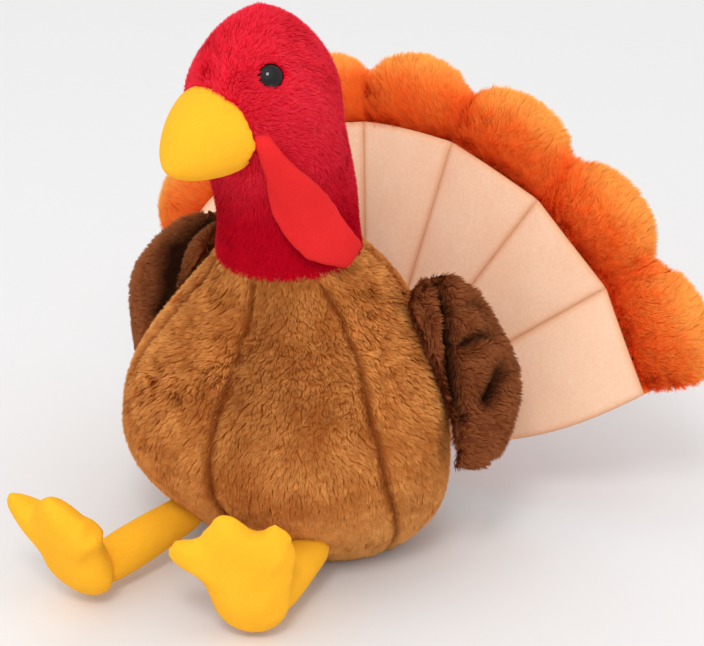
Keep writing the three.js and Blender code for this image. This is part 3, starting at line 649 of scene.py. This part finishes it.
for goreName in goreNames:
    sheet = sheetFrom(goreName.replace("_panel", "_gore"), goreName, goreOut, bodyLook["levels"])
    places = points(sheet)
    radial = places[:, :2] / np.linalg.norm(places[:, :2], axis=1, keepdims=True)
    rise = np.clip((places[:, 2] - neckPlace.z) / bodyLook["neckReach"] + 1, 0, 1)
    places[:, :2] -= radial * (bodyLook["inset"] + (bodyLook["neckInset"] - bodyLook["inset"]) * rise ** 2)[:, None]
    setPoints(sheet, places)
    stuffed(sheet, bodyLook["pressure"], bodyLook["cap"], sewnEdge(sheet, bodyLook["pinWidth"]))
    goreSheets.append((goreName, sheet))
print("body sheets:", sum(len(s.data.polygons) for n, s in goreSheets), "faces")

# head: one form, parted along its seam

headLook = {"voxel": 3 * mm, "soften": 8, "inset": 0.5 * mm, "pressure": 4.0, "cap": 2 * mm, "cloth": 1.4 * mm,
            "crownInset": 1.6 * mm, "crownLow": 215 * mm, "crownRise": 30 * mm,
            "neckSink": 7 * mm, "neckReach": 14 * mm, "neckFlare": 0.1, "eyeClear": 5.8 * mm, "underside": -0.75,
            "perSquareMm": 11.0, "length": 2.6 * mm, "lean": 1.2, "slant": 1.0, "gather": 0.4,
            "tuft": 2.0 * mm, "clump": 300.0, "drift": 60.0, "flow": 0.8,
            "throatShade": 0.95, "throatTop": 195 * mm, "throatFall": 40 * mm,
            "faceLow": 176 * mm, "faceRise": 16 * mm, "faceTurn": 1.2}
headForm = formFrom("head", ["head_left_panel", "head_right_panel", "head_stuffing",
                             "left_eye_washer", "right_eye_washer"], headLook["voxel"], headLook["soften"])
stuffed(headForm, headLook["pressure"], headLook["cap"])

# beak and snood

beakLook = {"voxel": 1.8 * mm, "soften": 10, "pressure": 10.0, "cap": 1.2 * mm, "widen": 0.18,
            "back": 2.4 * mm, "drop": 0.6 * mm, "droop": 2.4 * mm, "flatten": 0.07}
beak = formFrom("beak", ["beak_cover", "beak_stuffing"], beakLook["voxel"], beakLook["soften"])
stuffed(beak, beakLook["pressure"], beakLook["cap"])
snoodPlace = jointPlace("snood_lift")[0]
snoodLook = {"voxel": 1.6 * mm, "soften": 60, "pressure": 8.0, "cap": 1.0 * mm, "plump": 1.2 * mm,
             "top": 2 * mm, "tuck": 12 * mm, "tuckDepth": 3.5 * mm, "slide": 5 * mm, "slideReach": 36 * mm,
             "hang": 3 * mm}
snood = formFrom("snood_strip", ["snood"], snoodLook["voxel"], snoodLook["soften"])
stuffed(snood, snoodLook["pressure"], snoodLook["cap"])

# tail fan

tailPivot, tailAxis = jointPlace("tail_lean")
fanSide = -tailAxis
fanLean = math.radians(11.8)  # the fan's own slope at rest
fanUp = Vector((0, 0, math.cos(fanLean))) + Vector((0, 0, 1)).cross(fanSide) * math.sin(fanLean)
fanFront = fanSide.cross(fanUp).normalized()
panelLook = {"levels": 3, "pressure": 10.0, "cap": 1.1 * mm, "cloth": 1.2 * mm, "pinWidth": 0.8 * mm,
             "close": 0.35 * mm, "seamWidth": 1.6 * mm, "seamTone": 0.7}
backLook = {"levels": 2, "inset": 2.5 * mm, "cloth": 1.2 * mm,
            "trim": 5 * mm, "trimPale": 0.4, "trimThin": 0.5, "trimShort": 0.8,
            "perSquareMm": 6.0, "length": 3.8 * mm, "lean": 1.0, "slant": 1.2, "gather": 0.4,
            "tuft": 2.2 * mm, "clump": 240.0, "drift": 50.0, "flow": (0, 0, -0.6)}
lobeLook = {"voxel": 2.6 * mm, "soften": 5, "inset": 1.6 * mm, "pressure": 12.0, "cap": 2 * mm, "perSquareMm": 8.0,
            "length": 4.6 * mm, "lean": 1.5, "slant": 1.1, "gather": 0.4, "tuft": 2.8 * mm, "clump": 200.0,
            "drift": 50.0, "flow": 0.6, "comb": 0.4, "innerLength": 0.6, "inner": 138 * mm, "outer": 168 * mm,
            "overlap": 4 * mm, "base": 1.1, "baseTone": 0.9, "seamWidth": 5 * mm, "seamTone": 0.5,
            "pale": 0.5, "paleFrom": 0.7, "paleRise": 3}
panelSheets = []
for number in range(1, 8):
    sheet = sheetFrom(f"tail_feather_{number}", f"tail_panel_{number}", lambda p: fanFront, panelLook["levels"])
    stuffed(sheet, panelLook["pressure"], panelLook["cap"], sewnEdge(sheet, panelLook["pinWidth"]))
    panelSheets.append(sheet)
tailBack = sheetFrom("tail_back", "tail_back_panel", lambda p: -fanFront, backLook["levels"])
swell(tailBack, -backLook["inset"])
lobeNames = [f"tail_lobe_{number}" for number in range(1, 8)]
lobeBand = formFrom("tail_band", lobeNames, lobeLook["voxel"], lobeLook["soften"])
swell(lobeBand, -lobeLook["inset"])
stuffed(lobeBand, lobeLook["pressure"], lobeLook["cap"])

# wings

wingLook = {"voxel": 2.2 * mm, "soften": 4, "inset": 1.2 * mm, "pressure": 15.0, "cap": 2 * mm, "perSquareMm": 11.0,
            "length": 3.4 * mm, "lean": 1.4, "slant": 1.0, "gather": 0.6, "tuft": 2.2 * mm, "clump": 280.0,
            "drift": 80.0, "flow": (0.35, 0.5), "creaseShade": 0.95, "creaseFull": 5.0,
            "pale": {"left": 0.15, "right": 0.75}, "paleFrom": 18.0, "paleRise": 6.0}
wingCreases = {  # strokes over the front face, sunk in and painted with shade, mm out and up from the root: start, end, width, depth
    "left": [(14.5, 28, 0.9, -27, 3.0, 6.0), (14.5, -1.5, 23.5, -2, 3.4, 5.0), (24.5, -17, 14, -26, 3.4, 5.0),
             (22, 13, 25, 10, 2.6, 2.5), (8, 25, -4, -24, 3.0, -2.0)],
    "right": [(14, 27, 11, 10, 5.0, 5.0), (11, 10, 7, 2, 7.0, 8.0), (6, 0, 3, -14, 5.0, 5.5)]}
wingCurl = {  # top of the wing, mm out and up from the root: place, radius, push up and forward
    "left": (0, 28, 12, 0, 0), "right": (13, 28, 12, 8, -5)}
wingForms = []
for side, sign in (("left", -1), ("right", 1)):
    wing = formFrom(f"{side}_wing_pad", [f"{side}_wing_back", f"{side}_wing_front", f"{side}_wing_batting"],
                    wingLook["voxel"], wingLook["soften"])
    swell(wing, -wingLook["inset"])
    root, axis = jointPlace(f"{side}_wing_flap")
    wingUp = axis * sign
    spread = middleOf(f"{side}_wing_back") - root
    wingOut = (spread - wingUp * spread.dot(wingUp)).normalized()
    wingFront = wingOut.cross(wingUp)
    if wingFront.y > 0:
        wingFront.negate()
    stuffed(wing, wingLook["pressure"], wingLook["cap"])
    wingForms.append((side, wing, root, wingOut, wingUp, wingFront))

# legs and feet

limbLook = {"voxel": 1.9 * mm, "soften": 8, "pressure": 10.0, "cap": 1.2 * mm, "sunk": 9 * mm,
            "easeFactor": 0.5, "easeTurns": 8}
footPushes = {  # mm across and up the foot from the ankle: place, radius, push
    "left": [(18, 20, 9, 6, 0), (30, 38, 13, -3, -3), (12, 41, 5, 0, -4)],
    "right": [(-29, 38, 14, -1.5, 2.5), (-12, 41, 5, 0, -3), (29, 38, 11, -9, -5)]}
limbForms = []
for side in ("left", "right"):
    leg = formFrom(f"{side}_leg_tube", [f"{side}_leg", f"{side}_leg_stuffing"], limbLook["voxel"], limbLook["soften"])
    foot = formFrom(f"{side}_foot_pad", [f"{side}_foot_sole", f"{side}_foot_upper", f"{side}_foot_stuffing"],
                    limbLook["voxel"], limbLook["soften"])
    for limb in (leg, foot):
        stuffed(limb, limbLook["pressure"], limbLook["cap"])
    limbForms.append((side, leg, foot))

runStuffing(clothLook["frames"])

# pile and finish

bodyBlade = makeBlade("bodyBlade", 0.13)
shortBlade = makeBlade("shortBlade", 0.15)
longBlade = makeBlade("longBlade", 0.1)

seed = 1
for goreName, sheet in goreSheets:
    edge = sewnEdge(sheet, bodyLook["seamWidth"])
    drawTogether(sheet, bodyLook["close"])
    places = points(sheet)
    height = places[:, 2]
    # painted shade: the upper front below the neck and head is darker, strongest on the front left gore and light on
    # the others
    chestShade = np.clip((height - bodyLook["chestLow"]) / bodyLook["chestRise"], 0, 1)
    chestShade *= np.clip(-places[:, 1] / bodyLook["chestDepth"], 0, 1)
    chestShade *= bodyLook["chestShade"] if goreName == "body_front_left_panel" else bodyLook["flankShade"]
    seam = bodyLook["seamTone"] * edge * (height < neckPlace.z - bodyLook["seamTop"])
    setValue(sheet, "deep", np.maximum(seam, chestShade))
    # painted light: the lower body is lighter, standing in for light bounced up from the floor, except along the seams
    setValue(sheet, "pale", bodyLook["pale"] * np.clip(1 - height / bodyLook["paleTop"], 0, 1) * (1 - edge))
    pile = growPile(sheet, bodyBlade, bodyLook, seed, 1 - bodyLook["seamThin"] * edge, 1 - bodyLook["seamShort"] * edge)
    seed += 1
    dress(sheet, pile, bodyLook["cloth"])
    extra = ["body_stuffing"] if goreName == goreNames[0] else []
    finishPiece(sheet, caramelPlush, "body", [goreName] + extra)
    print(sheet.name, len(sheet.data.polygons), "faces")

seatLook = {"levels": 1, "cloth": 1.6 * mm}
seat = sheetFrom("seat_panel", "body_seat_panel", lambda p: Vector((0, 0, -1)), seatLook["levels"])
dress(seat, None, seatLook["cloth"])
finishPiece(seat, caramelPlush, "body", ["body_seat_panel"])

refine(headForm, 1)
swell(headForm, -headLook["inset"])
places = points(headForm)  # the neck runs on down into the body
crown = np.clip((places[:, 2] - headLook["crownLow"]) / headLook["crownRise"], 0, 1) ** 2
places[:, 2] -= crown * headLook["crownInset"]
under = np.clip((neckPlace.z + headLook["neckReach"] - places[:, 2]) / headLook["neckReach"], 0, 1) ** 2
places[:, 2] -= under * headLook["neckSink"]
places[:, :2] *= (1 + headLook["neckFlare"] * under)[:, None]
setPoints(headForm, places)
eyeSpots = [middleOf("left_eye"), middleOf("right_eye")]
headSide = eyeSpots[0] - eyeSpots[1]
headSide.z = 0
headSide.normalize()
headFront = headSide.cross(Vector((0, 0, 1)))
for side, sign in (("left", 1), ("right", -1)):
    bm = bmesh.new()
    bm.from_mesh(headForm.data)
    bmesh.ops.bisect_plane(bm, geom=bm.verts[:] + bm.edges[:] + bm.faces[:], dist=weld, plane_co=neckPlace,
                           plane_no=headSide * sign, clear_inner=True)
    half = fromBmesh(f"head_{side}", bm)
    places = points(half)
    clear = np.min([np.linalg.norm(places - np.array(spot), axis=1) for spot in eyeSpots], axis=0)
    lie = normals(half)
    share = np.where(clear < headLook["eyeClear"], 0.0, 1.0) * np.where(lie[:, 2] < headLook["underside"], 0.0, 1.0)
    # painted shade: the throat and neck below the beak and head are darker
    throatShade = np.clip((headLook["throatTop"] - places[:, 2]) / headLook["throatFall"], 0, 1)
    setValue(half, "deep", headLook["throatShade"] * throatShade)
    upper = np.clip((places[:, 2] - headLook["faceLow"]) / headLook["faceRise"], 0, 1)
    upper = upper * np.clip(0.5 + headLook["faceTurn"] * lie @ np.array(headFront), 0, 1)
    upper = upper[:, None]  # combed back off the face, down the nape and the neck
    flow = -headLook["flow"] * (upper * np.array(headFront) + (1 - upper) * np.array((0, 0, 1)))
    pile = growPile(half, shortBlade, headLook, seed, share, flow=flow)
    seed += 1
    dress(half, pile, headLook["cloth"])
    extra = ["head_stuffing"] if side == "left" else []
    finishPiece(half, crimsonPlush, "head", [f"head_{side}_panel"] + extra)
    print(half.name, len(half.data.polygons), "faces")
bpy.data.objects.remove(headForm)

for piece, material, body, slotName, replaced in (
        (beak, yellowFleece, "head", "yellow_fleece", ["beak_cover", "beak_stuffing"]),
        (snood, scarletFleece, "snood", "red_fleece", ["snood"])):
    refine(piece, 1)
    places = points(piece)
    if piece is beak:  # its root wraps round the face
        forward = places @ np.array(headFront)
        root = 1 - (forward - forward.min()) / np.ptp(forward)
        across = (places - places.mean(0)) @ np.array(headSide)
        places += np.outer(across * beakLook["widen"] * root, headSide) - np.array(headFront) * beakLook["back"]
        lift = places[:, 2] - places[:, 2].min()
        places[:, 2] -= beakLook["drop"] + beakLook["droop"] * (1 - root) + beakLook["flatten"] * root * lift
    else:  # the sewn top tucks in beside the beak, the free end hangs
        swell(piece, snoodLook["plump"])
        places = points(piece)
        fall = snoodPlace.z + snoodLook["top"] - places[:, 2]
        inward = np.array([-places[:, 0], -places[:, 1], np.zeros(len(places))]).T
        inward /= np.linalg.norm(inward, axis=1, keepdims=True)
        sideways = np.array(headFront) - inward * (inward @ np.array(headFront))[:, None]
        sideways /= np.linalg.norm(sideways, axis=1, keepdims=True)
        places += inward * (snoodLook["tuckDepth"] * (1 - np.clip(fall / snoodLook["tuck"], 0, 1)) ** 2)[:, None]
        places += sideways * (snoodLook["slide"] * (1 - np.clip(fall / snoodLook["slideReach"], 0, 1)) ** 1.5)[:, None]
        places[:, 2] -= snoodLook["hang"] * fall / fall.max()
    setPoints(piece, places)
    shade(piece)
    finishPiece(piece, material, body, replaced)

for number, sheet in enumerate(panelSheets, 1):
    edge = sewnEdge(sheet, panelLook["seamWidth"])
    drawTogether(sheet, panelLook["close"])
    wall(sheet, panelLook["cloth"])
    both = np.concatenate([edge, edge])[:len(sheet.data.vertices)]  # outer and inner side
    setValue(sheet, "seam", panelLook["seamTone"] * both)
    shade(sheet)
    finishPiece(sheet, peachVelour, "tail", [f"tail_panel_{number}"])
edge = sewnEdge(tailBack, backLook["trim"])
setValue(tailBack, "pale", backLook["trimPale"] * edge)
pile = growPile(tailBack, bodyBlade, backLook, seed, 1 - backLook["trimThin"] * edge, 1 - backLook["trimShort"] * edge)
seed += 1
dress(tailBack, pile, backLook["cloth"])
finishPiece(tailBack, amberPlush, "tail", ["tail_back_panel", "tail_batting"])
refine(lobeBand, 1)
lobeTurns = []
for lobeName in lobeNames:
    spoke = middleOf(lobeName) - tailPivot
    lobeTurns.append(math.atan2(spoke.dot(fanSide), spoke.dot(fanUp)))
for number in range(1, 8):
    bm = bmesh.new()
    bm.from_mesh(lobeBand.data)
    for other, sign in ((number - 1, 1), (number + 1, -1)):
        if 1 <= other <= 7:
            turn = (lobeTurns[number - 1] + lobeTurns[other - 1]) / 2
            across = fanSide * math.cos(turn) - fanUp * math.sin(turn)
            bmesh.ops.bisect_plane(bm, geom=bm.verts[:] + bm.edges[:] + bm.faces[:], dist=weld, plane_co=tailPivot,
                                   plane_no=across * sign, clear_inner=True)
    lobe = fromBmesh(f"tail_tip_{number}", bm)
    reach = points(lobe) - np.array(tailPivot)
    reach = np.hypot(reach @ np.array(fanSide), reach @ np.array(fanUp))
    share = np.clip((reach - lobeLook["inner"]) / (lobeLook["outer"] - lobeLook["inner"]), 0, 1)
    edge = sewnEdge(lobe, lobeLook["seamWidth"])
    base = np.clip(lobeLook["base"] - lobeLook["base"] * share, 0, 1)
    setValue(lobe, "deep", base * lobeLook["baseTone"] + lobeLook["seamTone"] * edge * share)
    # painted rim light: the outer rim of each lobe is lighter
    setValue(lobe, "pale", lobeLook["pale"] * np.clip((share - lobeLook["paleFrom"]) * lobeLook["paleRise"], 0, 1))
    outward = fanUp * math.cos(lobeTurns[number - 1]) + fanSide * math.sin(lobeTurns[number - 1])
    setPoints(lobe, points(lobe) - np.outer(lobeLook["overlap"] * np.clip(1 - 2 * share, 0, 1), outward))
    lie = normals(lobe)  # combed out over the front, round the rim and in again behind
    flow = np.outer(lie @ np.array(fanFront) + lobeLook["comb"], outward) - np.outer(lie @ np.array(outward), fanFront)
    longer = lobeLook["innerLength"] + (1 - lobeLook["innerLength"]) * np.clip(share * 5, 0, 1)
    pile = growPile(lobe, longBlade, lobeLook, seed, reach=longer, flow=lobeLook["flow"] * flow)
    seed += 1
    bm = bmesh.new()
    bm.from_mesh(lobe.data)
    bmesh.ops.holes_fill(bm, edges=[e for e in bm.edges if e.is_boundary], sides=0)
    bm.to_mesh(lobe.data)
    bm.free()
    dress(lobe, pile)
    finishPiece(lobe, amberPlush, "tail", [lobeNames[number - 1]])
    print(lobe.name, len(lobe.data.polygons), "faces")
bpy.data.objects.remove(lobeBand)

for side, wing, root, wingOut, wingUp, wingFront in wingForms:
    refine(wing, 1)
    places = points(wing)
    local = (places - np.array(root)) / mm
    out, along = local @ np.array(wingOut), local @ np.array(wingUp)
    curlOut, curlUp, radius, lift, push = wingCurl[side]
    weight = np.exp(-((out - curlOut) ** 2 + (along - curlUp) ** 2) / radius ** 2)[:, None] * mm
    places += weight * (lift * np.array(wingUp) + push * np.array(wingFront))
    facing = np.clip(normals(wing) @ np.array(wingFront) * 2, 0, 1)
    sunk = np.zeros(len(places))
    for fromOut, fromUp, toOut, toUp, width, depth in wingCreases[side]:
        stroke = np.array([toOut - fromOut, toUp - fromUp])
        share = np.clip(((out - fromOut) * stroke[0] + (along - fromUp) * stroke[1]) / (stroke @ stroke), 0, 1)
        away = np.hypot(out - fromOut - share * stroke[0], along - fromUp - share * stroke[1])
        mark = depth * np.exp(-(away / width) ** 2)
        sunk = np.where(np.abs(mark) > np.abs(sunk), mark, sunk)
    setPoints(wing, places - np.array(wingFront) * (sunk * facing)[:, None] * mm)
    # painted shade in the creases, darker the deeper they sink
    setValue(wing, "deep", np.clip(sunk * facing / wingLook["creaseFull"], 0, wingLook["creaseShade"]))
    # painted highlight: the wing's outer rim is lighter, as where it catches the light
    rim = np.clip((out - wingLook["paleFrom"]) / wingLook["paleRise"], 0, 1)
    setValue(wing, "pale", wingLook["pale"][side] * rim)
    flow = np.array(wingOut) * wingLook["flow"][0] - np.array(wingUp) * wingLook["flow"][1]  # out and down
    pile = growPile(wing, shortBlade, wingLook, seed, flow=np.tile(flow, (len(out), 1)))
    seed += 1
    dress(wing, pile)
    finishPiece(wing, chestnutPlush, f"{side}_wing",
                [f"{side}_wing_back", f"{side}_wing_front", f"{side}_wing_batting"])
    print(wing.name, len(wing.data.polygons), "faces")

for side, leg, foot in limbForms:
    hip = jointPlace(f"{side}_hip_swing")[0]
    ankle, ankleAxis = jointPlace(f"{side}_ankle_bend")
    footNodes = [f"{side}_foot_sole", f"{side}_foot_upper", f"{side}_foot_stuffing"]
    for limb, body, replaced in ((leg, f"{side}_leg", [f"{side}_leg", f"{side}_leg_stuffing"]),
                                 (foot, f"{side}_foot", footNodes)):
        refine(limb, 1)
        places = points(limb)
        if limb is foot:
            rise = (middleOf(f"{side}_foot_sole") + middleOf(f"{side}_foot_upper")) / 2 - ankle
            rise = np.array((rise - ankleAxis * rise.dot(ankleAxis)).normalized())
            across = (places - np.array(ankle)) @ np.array(ankleAxis) / mm
            upFoot = (places - np.array(ankle)) @ rise / mm
            for atX, atY, radius, pushX, pushY in footPushes[side]:
                weight = np.exp(-((across - atX) ** 2 + (upFoot - atY) ** 2) / radius ** 2)[:, None] * mm
                places += weight * (pushX * np.array(ankleAxis) + pushY * rise)
            setPoints(limb, places)
            soften(limb, limbLook["easeFactor"], limbLook["easeTurns"])
        else:
            run = np.array(hip - ankle)
            share = np.clip((places - np.array(ankle)) @ run / (run @ run), 0, 2)
            sunk = limbLook["sunk"] * np.clip(share * 2 - 1, 0, 1) ** 2  # the upper end runs on into the body
            setPoints(limb, places + run / np.linalg.norm(run) * sunk[:, None])
        shade(limb)
        finishPiece(limb, yellowFleece, body, replaced)

# eyes

eyeLook = {"radius": 5.3 * mm, "rise": 3.4 * mm, "sink": 0.8 * mm, "steps": 8, "segments": 32,
           "underRadius": 0.9, "underRim": 1.25, "underMiddle": 1.3}
eyeBlack, eyeTree, eyeShader = newMaterial("eyeBlack")
eyePlace = eyeTree.nodes.new("ShaderNodeTexCoord").outputs["Object"]
smear = shaderNode(eyeTree, "ShaderNodeTexNoise", {"Vector": eyePlace, "Scale": 900.0, "Detail": 3.0})
dull = shaderNode(eyeTree, "ShaderNodeMapRange", {0: smear.outputs["Fac"], 1: 0.3, 2: 0.8, 3: 0.02, 4: 0.06})
eyeTree.links.new(dull.outputs[0], eyeShader.inputs["Roughness"])
eyeShader.inputs["Base Color"].default_value = paint(8, 6, 6)
eyeShader.inputs["Specular IOR Level"].default_value = 0.35
for side in ("left", "right"):
    spots = np.unique(points(nodes[f"{side}_eye"]).round(6), axis=0)
    ring = np.unique(points(nodes[f"{side}_eye_washer"]).round(6), axis=0)
    outward = Vector(spots.mean(0) - ring.mean(0)).normalized()
    along = spots @ np.array(outward)
    centre = Vector(spots.mean(0))
    top = centre + outward * (along.max() - outward.dot(centre) - eyeLook["sink"])
    bm = bmesh.new()
    profile = []
    for i in range(eyeLook["steps"] + 1):
        turn = math.pi / 2 * i / eyeLook["steps"]
        profile.append(bm.verts.new((eyeLook["radius"] * math.sin(turn), 0, eyeLook["rise"] * (math.cos(turn) - 1))))
    under = eyeLook["radius"] * eyeLook["underRadius"]
    profile.append(bm.verts.new((under, 0, -eyeLook["rise"] * eyeLook["underRim"])))
    profile.append(bm.verts.new((0, 0, -eyeLook["rise"] * eyeLook["underMiddle"])))
    edges = [bm.edges.new(pair) for pair in zip(profile, profile[1:])]
    bmesh.ops.spin(bm, geom=profile + edges, cent=(0, 0, 0), axis=(0, 0, 1), angle=2 * math.pi,
                   steps=eyeLook["segments"], use_merge=True)
    bmesh.ops.remove_doubles(bm, verts=bm.verts, dist=weld)
    bmesh.ops.recalc_face_normals(bm, faces=bm.faces)
    face = outward.to_track_quat("Z", "Y").to_matrix().to_4x4()
    bmesh.ops.transform(bm, matrix=Matrix.Translation(top) @ face, verts=bm.verts)
    eye = shade(fromBmesh(f"{side}_eye_dome", bm))
    finishPiece(eye, eyeBlack, "head", [f"{side}_eye"])
whitePlastic, whiteTree, whiteShader = newMaterial("washerWhite")
washerPlace = whiteTree.nodes.new("ShaderNodeTexCoord").outputs["Object"]
grain = shaderNode(whiteTree, "ShaderNodeTexNoise", {"Vector": washerPlace, "Scale": 400.0})
cream = mixColour(whiteTree, "MIX", grain.outputs["Fac"], paint(236, 236, 230), paint(222, 222, 214))
whiteTree.links.new(cream, whiteShader.inputs["Base Color"])
for side in ("left", "right"):
    washer = nodes[f"{side}_eye_washer"]
    washer.data.materials.clear()
    washer.data.materials.append(whitePlastic)

for blade in (bodyBlade, shortBlade, longBlade):
    bpy.data.objects.remove(blade)

# floor, light and camera

floorLook = {"size": 12.0, "colour": (0.775, 0.77, 0.77, 1)}
bm = bmesh.new()
bmesh.ops.create_grid(bm, x_segments=1, y_segments=1, size=floorLook["size"] / 2)
floor = fromBmesh("floor", bm)
paleFloor, _, floorShader = newMaterial("paleFloor")
floorShader.inputs["Base Color"].default_value = floorLook["colour"]
floorShader.inputs["Roughness"].default_value = 0.7
floor.data.materials.append(paleFloor)

world = bpy.data.worlds.new("studio")
world.use_nodes = True
lightLook = {"sky": 0.94, "fill": 0.4, "fillAngle": 75, "softbox": 6.5, "softboxSize": 0.36}
world.node_tree.nodes["Background"].inputs[0].default_value = (1, 1, 1, 1)
world.node_tree.nodes["Background"].inputs[1].default_value = lightLook["sky"]
scene.world = world


def lamp(name, kind, place, target, energy, **settings):
    light = bpy.data.lights.new(name, kind)
    light.energy = energy
    for key, value in settings.items():
        setattr(light, key, value)
    body = bpy.data.objects.new(name, light)
    scene.collection.objects.link(body)
    body.location = place
    body.rotation_euler = (Vector(target) - Vector(place)).to_track_quat("-Z", "Y").to_euler()


lamp("fill", "SUN", (0.3, -1.0, 1.2), (0, 0, 0), lightLook["fill"], angle=math.radians(lightLook["fillAngle"]))
lamp("softbox", "AREA", (0.42, -0.92, 1.25), (0, -0.03, 0.2), lightLook["softbox"], size=lightLook["softboxSize"])

camera = bpy.data.objects.new("camera", bpy.data.cameras.new("camera"))
scene.collection.objects.link(camera)
view = {"azimuth": 30.0, "elevation": 24.0, "distance": 0.9, "lens": 103.2, "sensor": 36.0, "near": 0.01,
        "right": 26.3 * mm, "up": 92.3 * mm}
turn, tip = math.radians(view["azimuth"]), math.radians(view["elevation"])
back = Vector((math.sin(turn) * math.cos(tip), -math.cos(turn) * math.cos(tip), math.sin(tip)))
right = Vector((math.cos(turn), math.sin(turn), 0))
above = back.cross(right)
camera.location = back * view["distance"] + right * view["right"] + above * view["up"]
camera.rotation_euler = (-back).to_track_quat("-Z", "Y").to_euler()
camera.data.lens = view["lens"]
camera.data.sensor_width = view["sensor"]
camera.data.clip_start = view["near"]
scene.camera = camera
scene.view_settings.view_transform = "Standard"

bpy.context.view_layer.update()
